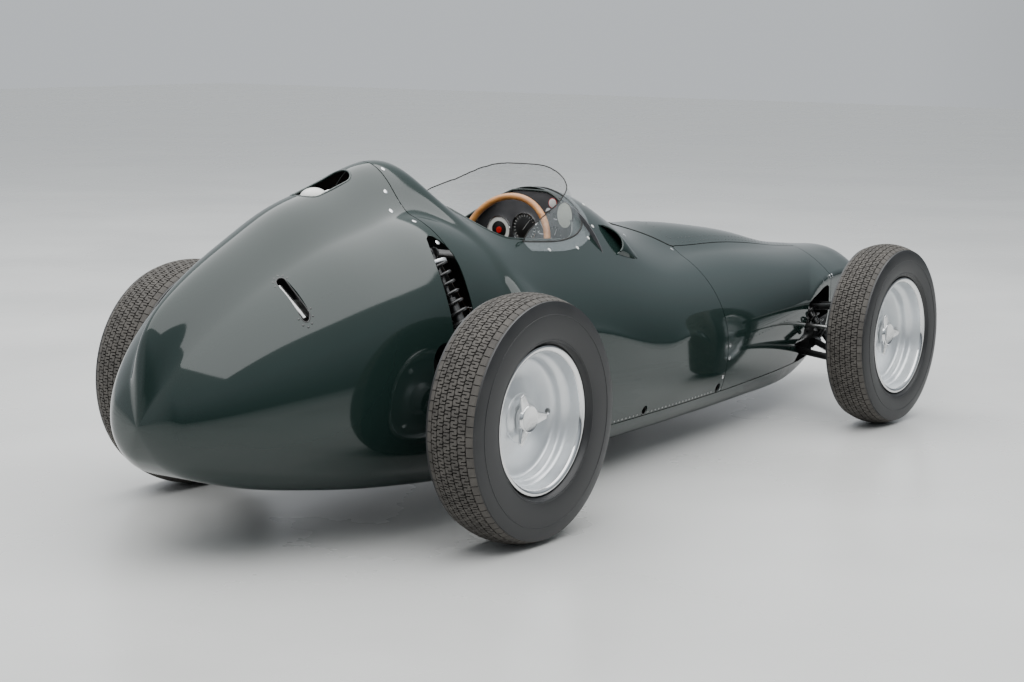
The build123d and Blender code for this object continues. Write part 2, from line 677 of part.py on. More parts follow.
# name, side, middle plane from the centre, axle y, tyre radius, tyre width
Wheel = namedtuple("Wheel", "name side middle y radius width")
wheels = [
    Wheel("front_left", 1, front_track / 2, front_axle_y, front_tyre_radius, front_tyre_width),
    Wheel("front_right", -1, front_track / 2, front_axle_y, front_tyre_radius, front_tyre_width),
    Wheel("rear_left", 1, rear_track / 2, rear_axle_y, rear_tyre_radius, rear_tyre_width),
    Wheel("rear_right", -1, rear_track / 2, rear_axle_y, rear_tyre_radius, rear_tyre_width),
]
for wheel in wheels:
    # local x runs outboard, local y is the radius
    centre = (wheel.side * wheel.middle, wheel.y, wheel.radius)
    plane = Plane(origin=centre, x_dir=(wheel.side, 0, 0), z_dir=(0, -wheel.side, 0))
    axle = Axis(centre, (1, 0, 0))
    outboard = Vector(wheel.side, 0, 0)
    bulge = wheel.width / 2
    tread_half = bulge - 17
    shoulder_radius = wheel.radius - 14
    bulge_radius = (flange_radius + shoulder_radius) / 2 + 8

    with BuildPart() as tyre:
        with BuildSketch(plane):
            with BuildLine():
                Line((-58, 206), (58, 206))
                Line((58, 206), (61, 217))
                ThreePointArc((61, 217), (bulge, bulge_radius), (tread_half, shoulder_radius))
                ThreePointArc((tread_half, shoulder_radius), (0, wheel.radius),
                              (-tread_half, shoulder_radius))
                ThreePointArc((-tread_half, shoulder_radius), (-bulge, bulge_radius), (-61, 217))
                Line((-61, 217), (-58, 206))
            make_face()
        revolve(axis=axle)
    save(tyre, f"tyre_{wheel.name}")

    with BuildPart() as rim:
        with BuildSketch(plane):
            with BuildLine():
                Polyline(*rim_outline, close=True)
            make_face()
        revolve(axis=axle)
        disc_plane = Plane(origin=Vector(*centre) - outboard * 30, x_dir=(0, 1, 0), z_dir=outboard)
        with BuildSketch(disc_plane):
            with PolarLocations(disc_hole_circle, disc_hole_count, wheel.side * disc_hole_start):
                Circle(disc_hole_radius)
        extrude(amount=60, mode=Mode.SUBTRACT)
    save(rim, f"rim_{wheel.name}")

    hub_face = Vector(*centre) + outboard * hub_outboard
    with BuildPart() as spinner:
        with BuildSketch(Plane(origin=hub_face, z_dir=outboard)):
            Circle(34)
            with PolarLocations(0, ear_count):
                with Locations((ear_length / 2, 0)):
                    Rectangle(ear_length, 20)
        extrude(amount=14)
        with BuildSketch(Plane(origin=hub_face + outboard * 14, z_dir=outboard)):
            Circle(30)
        extrude(amount=10)
    save(spinner, f"spinner_{wheel.name}")

for side, side_name in ((1, "left"), (-1, "right")):
    hub_inner_x = rear_track / 2 - hub_inboard
    with BuildPart() as half_shaft:
        add(rod((side * half_shaft_inner_x, rear_axle_y, axle_z),
                (side * hub_inner_x, rear_axle_y, axle_z), half_shaft_radius))
        add(rod((side * (hub_inner_x - 8), rear_axle_y, axle_z),
                (side * hub_inner_x, rear_axle_y, axle_z), 46))
        for joint_x in (150, 390):
            add(rod((side * joint_x, rear_axle_y, axle_z),
                    (side * (joint_x + 55), rear_axle_y, axle_z), 30))
    save(half_shaft, f"half_shaft_{side_name}")

# ---- cockpit ------------------------------------------------------------------------------
print("cockpit")
column_line = Vector(0, -cos(radians(column_tilt)), -sin(radians(column_tilt)))
wheel_centre = Vector(0, at(column_centre_aft), column_centre_z)
column_radius = 10.0
dash_low_z = 622.0
dash_thickness = 5.0
dash_station = next(station for station in stations if station.aft == opening_front_aft)
with BuildPart() as dash_panel:
    extrude(to_extrude=section(dash_station, skin + 4), amount=dash_thickness)
    add(block((-far, -far, -far), (far, far, dash_low_z)), mode=Mode.SUBTRACT)
    add(rod(wheel_centre, wheel_centre + column_line * 400, column_radius + 0.2),
        mode=Mode.SUBTRACT)
save(dash_panel, "dash_panel")

# x, z and radius of each gauge on the dash, whose face looks back at the driver
gauges = [(138, 755, 46), (0, 800, 58), (-105, 762, 32), (-172, 730, 28)]
with BuildPart() as instruments:
    for x, z, radius in gauges:
        add(rod((x, at(-950), z), (x, at(-938), z), radius))
save(instruments, "instruments")

with BuildPart() as steering_wheel:
    with BuildSketch(Plane(origin=wheel_centre, z_dir=-column_line, x_dir=(1, 0, 0))):
        Circle(28)
        for angle in (0, 90, 180):
            with Locations(Location((0, 0, 0), angle)):
                with Locations((steering_wheel_radius / 2, 0)):
                    Rectangle(steering_wheel_radius, 30)
    extrude(amount=-4)
    with Locations(Location(Plane(origin=wheel_centre + column_line * 2, z_dir=-column_line,
                                  x_dir=(1, 0, 0)))):
        Torus(steering_wheel_radius, 12)
save(steering_wheel, "steering_wheel")

with BuildPart() as steering_column:
    add(rod(wheel_centre + column_line * 4, wheel_centre + column_line * 420, column_radius))
    add(rod(wheel_centre + column_line * 4, wheel_centre + column_line * 40, 22))
save(steering_column, "steering_column")

with BuildPart() as seat_cushion:
    add(block((-185, at(-780), 246), (185, at(-430), 306)))
    fillet(seat_cushion.edges().filter_by(Axis.Z), 40)
save(seat_cushion, "seat_cushion")

with BuildPart() as seat_back:
    with BuildSketch(Plane.YZ.offset(-195)):
        with BuildLine():
            Polyline((at(-480), 308), (at(-420), 308), (at(-360), 590), (at(-345), 770),
                     (at(-400), 780), (at(-430), 590), close=True)
        make_face()
    extrude(amount=390)
save(seat_back, "seat_back")

mirror_centre = Vector(-170, at(-902), 842)
mirror_turn = 20.0         # towards the driver
mirror_radius = 42.0
mirror_depth = 12.0
mirror_back = Vector(-sin(radians(mirror_turn)), -cos(radians(mirror_turn)), 0)
mirror_stalk_start = mirror_centre + mirror_back * mirror_depth
with BuildPart() as mirror_housing:
    add(rod(mirror_centre, mirror_stalk_start, mirror_radius))
    add(rod(mirror_stalk_start, (mirror_stalk_start.X, at(-950), mirror_centre.Z), 8))
save(mirror_housing, "mirror_housing")

# ---- windscreen ---------------------------------------------------------------------------
screen_thickness = 4.0
# the plan of each row is a half-ellipse from front_aft to straight_aft, with straight sides behind
ScreenRow = namedtuple("ScreenRow", "z front_aft straight_aft half")
screen_rows = [ScreenRow(740, -1185, -675, 268), ScreenRow(1010, -905, -580, 294)]
screen_rear_aft = -520.0
# the upper edge in side view, (aft, z)
screen_edge = [(-1000, 1004), (-907, 1004), (-900, 1001), (-894, 997), (-883, 985), (-870, 973),
               (-860, 965), (-845, 952), (-832, 944), (-789, 929), (-739, 913), (-701, 896),
               (-640, 872), (-550, 825), (-520, 790), (-500, 780)]


def screen_solid(inset):
    """The space under the windscreen's sheet, closed behind."""
    with BuildPart() as solid:
        for row in screen_rows:
            half = row.half - inset
            middle_y = at(row.straight_aft)
            with BuildSketch(Plane.XY.offset(row.z)):
                with BuildLine():
                    EllipticalCenterArc((0, middle_y), half,
                                        row.straight_aft - row.front_aft - inset, 180, arc_size=180)
                    Polyline((half, middle_y), (half, at(screen_rear_aft)),
                             (-half, at(screen_rear_aft)), (-half, middle_y))
                make_face()
        loft()
    return solid.part


with BuildPart() as windscreen:
    add(screen_solid(0))
    add(screen_solid(screen_thickness), mode=Mode.SUBTRACT)
    add(cockpit_outer, mode=Mode.SUBTRACT)
    # the top edge falls towards the rear
    with BuildSketch(Plane.YZ.offset(-far / 2)):
        with BuildLine():
            Polyline(*[(at(aft), z) for aft, z in screen_edge], (at(0), 780), (at(0), 1400),
                     (at(-1000), 1400), close=True)
        make_face()
    extrude(amount=far, mode=Mode.SUBTRACT)
    add(block((-far, -far, -far), (far, far, 700)), mode=Mode.SUBTRACT)
save(windscreen, "windscreen")
print("done")
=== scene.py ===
from math import cos, pi, radians, sin, sqrt

import bpy
import numpy as np
from mathutils import Matrix, Vector


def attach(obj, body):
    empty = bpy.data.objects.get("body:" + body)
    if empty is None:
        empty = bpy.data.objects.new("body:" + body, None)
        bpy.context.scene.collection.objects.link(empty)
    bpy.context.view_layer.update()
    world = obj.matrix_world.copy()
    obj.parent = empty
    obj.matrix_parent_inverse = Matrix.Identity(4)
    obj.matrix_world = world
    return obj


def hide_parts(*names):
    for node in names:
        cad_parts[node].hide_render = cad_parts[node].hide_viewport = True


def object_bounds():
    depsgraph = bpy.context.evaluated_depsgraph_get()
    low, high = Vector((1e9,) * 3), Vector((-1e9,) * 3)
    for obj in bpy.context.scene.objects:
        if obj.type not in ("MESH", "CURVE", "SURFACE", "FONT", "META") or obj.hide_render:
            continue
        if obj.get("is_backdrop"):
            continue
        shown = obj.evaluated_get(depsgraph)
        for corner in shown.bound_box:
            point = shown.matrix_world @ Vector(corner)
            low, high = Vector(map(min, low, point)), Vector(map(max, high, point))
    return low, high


print("loading the packed car")
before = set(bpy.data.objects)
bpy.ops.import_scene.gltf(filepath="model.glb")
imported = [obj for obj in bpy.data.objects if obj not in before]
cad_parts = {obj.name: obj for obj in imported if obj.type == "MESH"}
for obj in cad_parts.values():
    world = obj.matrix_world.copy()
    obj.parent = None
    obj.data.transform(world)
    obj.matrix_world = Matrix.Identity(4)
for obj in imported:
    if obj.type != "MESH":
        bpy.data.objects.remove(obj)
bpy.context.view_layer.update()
bpy.ops.object.select_all(action="DESELECT")

# metres, +Z up, the nose points to -Y and +X is the driver's left; "aft" is behind the rear axle
rearAxle = 1.1385
wheelbase = 2.286
frontAxle = rearAxle - wheelbase
mm = 0.001


def at(aft):
    return rearAxle + aft


def activate(piece):
    bpy.ops.object.select_all(action="DESELECT")
    piece.select_set(True)
    bpy.context.view_layer.objects.active = piece


def modify(piece, kind, **values):
    activate(piece)
    modifier = piece.modifiers.new(kind.title(), kind)
    for key, value in values.items():
        setattr(modifier, key, value)
    bpy.ops.object.modifier_apply(modifier=modifier.name)
    return piece


def settle(piece):
    # the place goes into the mesh, so that patterns stay where they are
    activate(piece)
    bpy.ops.object.transform_apply(location=True, rotation=True, scale=True)
    return piece


def smooth(piece, angle=35):
    activate(piece)
    bpy.ops.object.shade_smooth_by_angle(angle=radians(angle))
    return piece


def tidyMesh(piece, distance=0.00002, turn=True):
    activate(piece)
    bpy.ops.object.mode_set(mode="EDIT")
    bpy.ops.mesh.select_all(action="SELECT")
    bpy.ops.mesh.remove_doubles(threshold=distance)
    if turn:
        bpy.ops.mesh.normals_make_consistent(inside=False)
    bpy.ops.object.mode_set(mode="OBJECT")
    return piece


def joined(pieces):
    activate(pieces[0])
    for piece in pieces:
        piece.select_set(True)
    bpy.ops.object.join()
    return bpy.context.view_layer.objects.active


def coat(piece, *finishNames):
    piece.data.materials.clear()
    for name in finishNames:
        piece.data.materials.append(paint[name])
    return piece


def finishPiece(piece, name, finish=None, replaced=None, body="chassis"):
    piece.name = name
    piece.data.name = name
    if finish:
        coat(piece, finish)
    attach(piece, body)
    if replaced:
        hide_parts(replaced)


def meshPiece(name, points, faces, edges=()):
    mesh = bpy.data.meshes.new(name)
    mesh.from_pydata([tuple(p) for p in points], edges, faces)
    piece = bpy.data.objects.new(name, mesh)
    bpy.context.collection.objects.link(piece)
    return piece


def gridFaces(rows, columns, flip=False):
    width = columns + 1
    starts = [row * width + column for row in range(rows) for column in range(columns)]
    if flip:
        return [(a, a + width, a + width + 1, a + 1) for a in starts]
    return [(a, a + 1, a + width + 1, a + width) for a in starts]


def cube(size, place=(0, 0, 0)):
    bpy.ops.mesh.primitive_cube_add(size=1, location=place)
    bpy.context.object.scale = size
    return settle(bpy.context.object)


def bar(start, end, radius, sides=24):
    # a round bar between two points
    start, end = Vector(start), Vector(end)
    run = end - start
    turn = run.to_track_quat("Z", "Y").to_euler()
    bpy.ops.mesh.primitive_cylinder_add(
        vertices=sides, radius=radius, depth=run.length, location=(start + end) / 2, rotation=turn)
    return settle(bpy.context.object)


def pipe(points, radius, closed=False, sides=8, order=3):
    # a round wire or tube along a smooth run of points
    curve = bpy.data.curves.new("run", "CURVE")
    curve.dimensions = "3D"
    spline = curve.splines.new("NURBS")
    spline.points.add(len(points) - 1)
    for spot, point in zip(spline.points, points):
        spot.co = (*point, 1.0)
    spline.use_cyclic_u = closed
    spline.use_endpoint_u = not closed
    spline.order_u = order
    spline.resolution_u = 4
    curve.bevel_depth = radius
    curve.bevel_resolution = sides // 2 - 1
    curve.use_fill_caps = True
    piece = bpy.data.objects.new("run", curve)
    bpy.context.collection.objects.link(piece)
    activate(piece)
    bpy.ops.object.convert(target="MESH")
    return bpy.context.object


def spun(profile, centre, outboard, steps=96):
    # profile: (distance along the axle, radius); outboard is +1 or -1 along x
    points = [(x * outboard, 0.0, r) for x, r in profile]
    piece = meshPiece("profile", points, [], [(i, i + 1) for i in range(len(points) - 1)])
    modify(piece, "SCREW", axis="X", steps=steps, render_steps=steps, use_merge_vertices=True,
           use_smooth_shade=True)
    piece.location = centre
    return tidyMesh(settle(piece))


def cutAway(piece, cutters):
    for cutter in cutters:
        modify(piece, "BOOLEAN", operation="DIFFERENCE", solver="EXACT", object=cutter)
        bpy.data.objects.remove(cutter)


print("materials")


def newShader(name, colour, roughness, metallic=0.0):
    material = bpy.data.materials.new(name)
    material.use_nodes = True
    shader = material.node_tree.nodes["Principled BSDF"]
    shader.inputs["Base Color"].default_value = (*colour, 1)
    shader.inputs["Roughness"].default_value = roughness
    shader.inputs["Metallic"].default_value = metallic
    return material, material.node_tree, shader


def noiseOn(tree, scale, detail, stretch=(1, 1, 1)):
    place = tree.nodes.new("ShaderNodeTexCoord")
    mapping = tree.nodes.new("ShaderNodeMapping")
    mapping.inputs["Scale"].default_value = stretch
    noise = tree.nodes.new("ShaderNodeTexNoise")
    noise.inputs["Scale"].default_value = scale
    noise.inputs["Detail"].default_value = detail
    tree.links.new(place.outputs["Object"], mapping.inputs["Vector"])
    tree.links.new(mapping.outputs["Vector"], noise.inputs["Vector"])
    return noise.outputs["Fac"]


def ramp(tree, source, stops):
    # stops: (place, colour or grey)
    node = tree.nodes.new("ShaderNodeValToRGB")
    while len(node.color_ramp.elements) < len(stops):
        node.color_ramp.elements.new(0.5)
    for element, (place, colour) in zip(node.color_ramp.elements, stops):
        element.position = place
        element.color = (*colour, 1) if isinstance(colour, tuple) else (colour, colour, colour, 1)
    tree.links.new(source, node.inputs["Fac"])
    return node.outputs["Color"]


def blotch(tree, patches, socket, low, high):
    tree.links.new(ramp(tree, patches, [(0.3, low), (0.7, high)]), socket)


def mottled(name, dark, light, rough, metallic, patchScale, grainScale, strength):
    # a finish whose colour and roughness wander a little, with a fine grain in its surface
    material, tree, shader = newShader(name, dark, rough[0], metallic)
    stretch = woodStretch if name == "rimWood" else (1, 1, 1)
    patches = noiseOn(tree, patchScale, 5, stretch)
    blotch(tree, patches, shader.inputs["Base Color"], dark, light)
    blotch(tree, patches, shader.inputs["Roughness"], *rough)
    bump = tree.nodes.new("ShaderNodeBump")
    bump.inputs["Strength"].default_value = strength
    bump.inputs["Distance"].default_value = mm
    tree.links.new(noiseOn(tree, grainScale, 3, stretch), bump.inputs["Height"])
    tree.links.new(bump.outputs["Normal"], shader.inputs["Normal"])
    for socket, value in otherSockets.get(name, {}).items():
        shader.inputs[socket].default_value = value
    return material


finishes = {
    # dark and light colour, roughness from and to, metallic, scale of patches and grain, bump
    "greenPaint": ((0.0085, 0.019, 0.0165), (0.0105, 0.0225, 0.0195), (0.055, 0.085), 0,
                   1.4, 260, 0.004),
    "insideMetal": ((0.018, 0.019, 0.020), (0.034, 0.036, 0.037), (0.45, 0.62), 0.2, 7, 120, 0.1),
    "blackEnamel": ((0.006,) * 3, (0.014,) * 3, (0.22, 0.38), 0, 18, 240, 0.06),
    "castMetal": ((0.25, 0.25, 0.24), (0.42, 0.42, 0.41), (0.5, 0.68), 0.8, 14, 420, 0.5),
    "steel": ((0.30,) * 3, (0.48, 0.48, 0.47), (0.26, 0.4), 1.0, 22, 300, 0.08),
    "wheelAlloy": ((0.66, 0.68, 0.70), (0.78, 0.80, 0.81), (0.28, 0.36), 0.75, 9, 500, 0.05),
    "brightMetal": ((0.72,) * 3, (0.86,) * 3, (0.05, 0.13), 1.0, 12, 200, 0.02),
    "sidewallRubber": ((0.012, 0.0125, 0.0135), (0.021, 0.021, 0.022), (0.36, 0.46), 0,
                       11, 700, 0.1),
    "treadRubber": ((0.050, 0.045, 0.040), (0.095, 0.087, 0.078), (0.72, 0.9), 0, 26, 420, 0.5),
    # also the black line along the lid's seam, which is painted shade
    "rubberAndSeamShade": ((0.008, 0.007, 0.006), (0.02, 0.018, 0.016), (0.8, 0.95), 0, 30, 400, 0.3),
    "dashGrey": ((0.052, 0.052, 0.056), (0.070, 0.070, 0.074), (0.5, 0.62), 0, 30, 900, 0.3),
    "dialBlack": ((0.006,) * 3, (0.012,) * 3, (0.3, 0.4), 0, 30, 600, 0.05),
    "seatLeather": ((0.012, 0.011, 0.010), (0.03, 0.028, 0.026), (0.4, 0.6), 0, 16, 330, 0.7),
    "exhaustSteel": ((0.10, 0.085, 0.075), (0.24, 0.22, 0.20), (0.35, 0.55), 0.9, 10, 260, 0.15),
    "rimWood": ((0.36, 0.135, 0.032), (0.60, 0.27, 0.075), (0.2, 0.32), 0, 9, 60, 0.04),
    # the mirror's glass: a pale grey-green, half-metallic colour that is a painted reflection
    "mirrorPaintedReflection": ((0.60, 0.66, 0.58), (0.68, 0.73, 0.66), (0.20, 0.26), 0.35, 4, 20, 0.004),
    "clearScreen": ((0.50, 0.55, 0.57), (0.58, 0.63, 0.65), (0.02, 0.04), 0, 3, 12, 0.004),
    "redPlastic": ((0.52, 0.012, 0.012), (0.62, 0.02, 0.018), (0.2, 0.26), 0, 20, 200, 0.02),
    "whiteEnamel": ((0.74, 0.74, 0.70), (0.82, 0.82, 0.79), (0.25, 0.35), 0, 20, 300, 0.03),
}
otherSockets = {
    "greenPaint": {"IOR": 1.52}, "blackEnamel": {"Coat Weight": 0.4, "Coat Roughness": 0.15},
    "rimWood": {"Coat Weight": 0.6, "Coat Roughness": 0.08},
    "clearScreen": {"Alpha": 0.13, "IOR": 1.49},
}
woodStretch = (1, 6, 6)
paint = {name: mottled(name, *settings) for name, settings in finishes.items()}

print("body shape")
# millimetres: aft, half the width at the waist, waist height, floor height, crown height,
# run of the lower corner, squareness, half-width of the raised middle, its top
bodyShape = {
    "rows": [
        (-3150, 140, 398, 286, 512, 80, 2.00, 80, 512),
        (-3080, 168, 398, 262, 548, 110, 2.00, 95, 548),
        (-2900, 208, 396, 218, 576, 120, 2.00, 120, 576),
        (-2700, 243, 392, 172, 594, 105, 2.00, 100, 596),
        (-2490, 283, 384, 135, 616, 85, 2.00, 105, 624),
        (-2286, 318, 375, 114, 640, 75, 2.00, 120, 669),
        (-1950, 365, 355, 112, 676, 85, 2.00, 145, 724),
        (-1600, 403, 345, 112, 700, 100, 2.00, 175, 760),
        (-1440, 415, 347, 112, 716, 105, 2.02, 215, 768),
        (-1280, 425, 350, 112, 738, 105, 2.05, 262, 806),
        (-1110, 431, 355, 112, 765, 105, 2.10, 292, 890),
        (-950, 436, 360, 112, 790, 105, 2.20, 310, 925),
        (-720, 439, 372, 112, 820, 105, 2.28, 318, 934),
        (-500, 440, 385, 114, 845, 105, 2.35, 318, 935),
        (-320, 440, 392, 116, 888, 107, 2.42, 300, 930),
        (-250, 439, 394, 118, 900, 109, 2.45, 240, 985),
        (-185, 439, 398, 120, 912, 112, 2.47, 185, 1040),
        (-75, 437, 402, 125, 925, 120, 2.50, 150, 1051),
        (110, 428, 404, 136, 903, 140, 2.42, 148, 999),
        (300, 405, 405, 150, 862, 165, 2.30, 140, 948),
        (450, 363, 403, 168, 808, 168, 2.22, 128, 885),
        (600, 305, 400, 190, 738, 170, 2.15, 115, 813),
        (720, 240, 395, 222, 655, 155, 2.08, 95, 744),
        (800, 178, 390, 255, 572, 125, 2.04, 70, 682),
        (850, 112, 386, 300, 488, 80, 2.00, 45, 600),
        (873, 44, 385, 345, 425, 36, 2.00, 20, 450),
    ],
    "cell": 0.013,
    "sheet": 0.0025,
    "gap": 0.0019,
    "lidHalf": (0.070, 0.160),
    "split": 0.180,
    "fillet": 0.45,
    "tipStart": 0.838,
    "tipHeight": 0.386,
}
noseTip, noseSeam, bonnetRear, tailSeam, tailTip = -3.150, -2.700, -1.600, -0.075, 0.873


def naturalSpline(knots, values, wanted):
    # a cubic through every row, with no bend at either end
    count = len(knots)
    gaps = np.diff(knots)
    system = np.eye(count)
    right = np.zeros_like(values)
    for i in range(1, count - 1):
        system[i, i - 1:i + 2] = gaps[i - 1], 2 * (gaps[i - 1] + gaps[i]), gaps[i]
        right[i] = 6 * ((values[i + 1] - values[i]) / gaps[i]
                        - (values[i] - values[i - 1]) / gaps[i - 1])
    bend = np.linalg.solve(system, right)
    i = np.clip(np.searchsorted(knots, wanted) - 1, 0, count - 2)
    gap = gaps[i][:, None]
    after = (wanted - knots[i])[:, None]
    before = gap - after
    return ((bend[i] * before ** 3 + bend[i + 1] * after ** 3) / (6 * gap)
            + (values[i] / gap - bend[i] * gap / 6) * before
            + (values[i + 1] / gap - bend[i + 1] * gap / 6) * after)


def smoothStations():
    rows = np.array(bodyShape["rows"], dtype=float)
    rows[:, [0, 1, 2, 3, 4, 5, 7, 8]] *= mm
    moves = np.diff(rows[:, [0, 1, 3, 4, 7, 8]], axis=0)
    knots = np.concatenate([[0], np.cumsum(np.sqrt((moves ** 2).sum(axis=1)))])
    return naturalSpline(knots, rows, np.linspace(0, knots[-1], 4000))


stationTable = smoothStations()


def halfRing(aft):
    # half a section from the middle of the top, down the driver's left, to the middle of the floor
    side, waist, floor, crown, corner, power, hump, top = [
        np.interp(aft, stationTable[:, 0], stationTable[:, i]) for i in range(1, 9)]
    rise = np.linspace(pi / 2, 0, 420)
    x = side * np.cos(rise) ** (2 / power)
    x[0] = 0
    z = waist + (crown - waist) * np.sin(rise) ** (2 / power)
    foot = waist + (crown - waist) * (1 - (hump / side) ** power) ** (1 / power)
    dome = top - (top - foot) * (x / hump) ** 2
    blend = max(bodyShape["fillet"] * (top - crown), 0.0001)
    near = np.maximum(blend - np.abs(z - dome), 0) / blend
    z = np.maximum(z, dome) + near ** 2 * blend / 4
    turn = np.linspace(pi / 2, 0, 60)[1:]
    lowX = side - corner + corner * np.sin(turn)
    lowZ = floor + (waist - floor) * (1 - np.cos(turn))
    xs = np.concatenate([x, lowX, [0]])
    zs = np.concatenate([z, lowZ, [floor]])
    steps = np.concatenate([[0], np.cumsum(np.hypot(np.diff(xs), np.diff(zs)))])
    return xs, zs, steps, len(rise)


def tipShare(aft):
    # the last of the tail closes in a half-circle
    run = min(max((aft - bodyShape["tipStart"]) / (tailTip - bodyShape["tipStart"]), 0), 1)
    return sqrt(max(1 - run ** 2, 0))


def ringPoints(aft, distances):
    # distances run along the section from the middle of the top, positive to the driver's left
    xs, zs, steps, _ = halfRing(aft)
    total = steps[-1]
    wrapped = (np.asarray(distances) + total) % (2 * total) - total
    x = np.interp(np.abs(wrapped), steps, xs) * np.sign(wrapped)
    z = np.interp(np.abs(wrapped), steps, zs)
    share = tipShare(aft)
    middle = bodyShape["tipHeight"]
    return np.column_stack([x * share, np.full(len(x), at(aft)), middle + (z - middle) * share])


def distanceAtX(aft, x):
    xs, _, steps, upper = halfRing(aft)
    return np.interp(x, xs[:upper], steps[:upper])


def distanceAtZ(aft, z):
    _, zs, steps, upper = halfRing(aft)
    return np.interp(-z, -zs[upper - 1:-1], steps[upper - 1:-1])


def flankAtZ(aft, z):
    # how far out the flank is at a height
    xs, zs, _, upper = halfRing(aft)
    widest = upper - 1
    if z >= zs[widest]:
        return float(np.interp(-z, -zs[:widest + 1], xs[:widest + 1]))
    return float(np.interp(-z, -zs[widest:-1], xs[widest:-1]))


def topAtX(aft, x):
    xs, zs, _, upper = halfRing(aft)
    return float(np.interp(abs(x), xs[:upper], zs[:upper]))


def outward(aft, distance):
    # the skin's normal
    step = 0.002
    across = ringPoints(aft, [distance - step, distance + step])
    along = [ringPoints(aft + move, [distance])[0] for move in (-step, step)]
    normal = np.cross(across[1] - across[0], along[1] - along[0])
    if normal.dot(ringPoints(aft, [distance])[0] - np.array([0, at(aft), 0.4])) < 0:
        normal = -normal
    return Vector(normal / np.linalg.norm(normal))


def onSkin(aft, distance, lift=0.0):
    return Vector(ringPoints(aft, [distance])[0]) + outward(aft, distance) * lift


def skinPanel(firstAft, lastAft, edges, wholeRing=False, crowding=1.0):
    # a grid whose points are moved onto the body; edges gives both ends of a row
    gap = bodyShape["gap"]
    first, last = firstAft + gap, lastAft - gap
    rows = int((last - first) / bodyShape["cell"]) + 1
    widest = max(np.ptp(edges(aft)) for aft in np.linspace(first, last, 9))
    columns = int(widest / bodyShape["cell"]) + 1
    bpy.ops.mesh.primitive_grid_add(x_subdivisions=columns, y_subdivisions=rows, size=2)
    piece = bpy.context.object
    count = len(piece.data.vertices)
    flat = np.empty(count * 3)
    piece.data.vertices.foreach_get("co", flat)
    flat = flat.reshape(-1, 3)
    shares = (flat[:, :2] + 1) / 2
    placed = np.empty_like(flat)
    for share in np.unique(np.round(shares[:, 1], 6)):
        chosen = np.abs(shares[:, 1] - share) < 1e-5
        aft = last - (last - first) * (1 - share) ** crowding
        low, high = edges(aft)
        if not wholeRing:
            low, high = low + gap, high - gap
        placed[chosen] = ringPoints(aft, low + (high - low) * shares[chosen, 0])
    piece.data.vertices.foreach_set("co", placed.ravel())
    piece.data.update()
    return tidyMesh(piece, 0.00005, False) if wholeRing else piece


def thicken(piece):
    coat(piece, "greenPaint", "insideMetal")
    return modify(piece, "SOLIDIFY", thickness=bodyShape["sheet"], offset=-1, material_offset=1,
                  use_even_offset=True)


def fullRing(aft):
    total = halfRing(aft)[2][-1]
    return -total, total


def splitReach(aft):
    return distanceAtZ(aft, bodyShape["split"])


def lidHalfAt(aft):
    return float(np.interp(aft, (noseSeam, bonnetRear), bodyShape["lidHalf"]))


def lidReach(aft):
    return distanceAtX(aft, lidHalfAt(aft))


def outlineCutter(outline, low, high, axis):
    # a prism: outline is (y, z) for axis x, or (x, y) for axis z
    count = len(outline)
    points = []
    for level in (low, high):
        for first, second in outline:
            points.append((level, first, second) if axis == "x" else (first, second, level))
    faces = [tuple(range(count)), tuple(range(2 * count - 1, count - 1, -1))]
    faces += [(i, i + count, (i + 1) % count + count, (i + 1) % count) for i in range(count)]
    return tidyMesh(meshPiece("cutter", points, faces))


def roundedOutline(low, high, corners, steps=10):
    # corners: radius at (low, low), (high, low), (high, high), (low, high)
    centres = [(low[0] + corners[0], low[1] + corners[0], pi),
               (high[0] - corners[1], low[1] + corners[1], 1.5 * pi),
               (high[0] - corners[2], high[1] - corners[2], 0),
               (low[0] + corners[3], high[1] - corners[3], 0.5 * pi)]
    outline = []
    for (x, y, start), radius in zip(centres, corners):
        for i in range(steps + 1):
            turn = start + pi / 2 * i / steps
            outline.append((x + radius * cos(turn), y + radius * sin(turn)))
    return outline


print("body panels")
gap = bodyShape["gap"]
panels = {
    # name: node, first and last station, edges, whole ring, crowding towards the rear
    "noseCowl": ("nose_cowl", noseTip - gap, noseSeam, fullRing, True, 1.0),
    "bonnetLid": ("bonnet_lid", noseSeam, bonnetRear,
                  lambda aft: (-lidReach(aft), lidReach(aft)), False, 1.0),
    "bonnetSideLeft": ("bonnet_side_left", noseSeam, bonnetRear,
                       lambda aft: (lidReach(aft), splitReach(aft)), False, 1.0),
    "bonnetSideRight": ("bonnet_side_right", noseSeam, bonnetRear,
                        lambda aft: (-splitReach(aft), -lidReach(aft)), False, 1.0),
    "cockpitSection": ("cockpit_section", bonnetRear, tailSeam,
                       lambda aft: (-splitReach(aft), splitReach(aft)), False, 1.0),
    "bellyPan": ("belly_pan", noseSeam, tailSeam,
                 lambda aft: (splitReach(aft), 2 * fullRing(aft)[1] - splitReach(aft)), False, 1.0),
    "tailShell": ("tail_shell", tailSeam, tailTip + gap, fullRing, True, 1.7),
}
skins = {name: thicken(skinPanel(*settings[1:])) for name, settings in panels.items()}
cockpitSkin, tailSkin = skins["cockpitSection"], skins["tailShell"]

cutout = {
    "edge": [(-2.190, 0.100), (-2.196, 0.122), (-2.220, 0.136), (-2.279, 0.153),
             (-2.320, 0.184), (-2.350, 0.216), (-2.308, 0.237), (-2.264, 0.258),
             (-2.314, 0.275), (-2.362, 0.288), (-2.378, 0.320), (-2.388, 0.350),
             (-2.400, 0.380), (-2.422, 0.402), (-2.470, 0.416), (-2.526, 0.426),
             (-2.600, 0.442), (-2.650, 0.447), (-2.676, 0.438), (-2.680, 0.400),
             (-2.680, 0.100)],
    # the belly is black forward of this station: painted shade
    "shadeBlackUntil": -2.190,
}
cutoutOutline = [(at(aft), z) for aft, z in cutout["edge"]]
for name in ("bonnetSideLeft", "bonnetSideRight"):
    cutAway(skins[name], [outlineCutter(cutoutOutline, -1, 1, "x")])
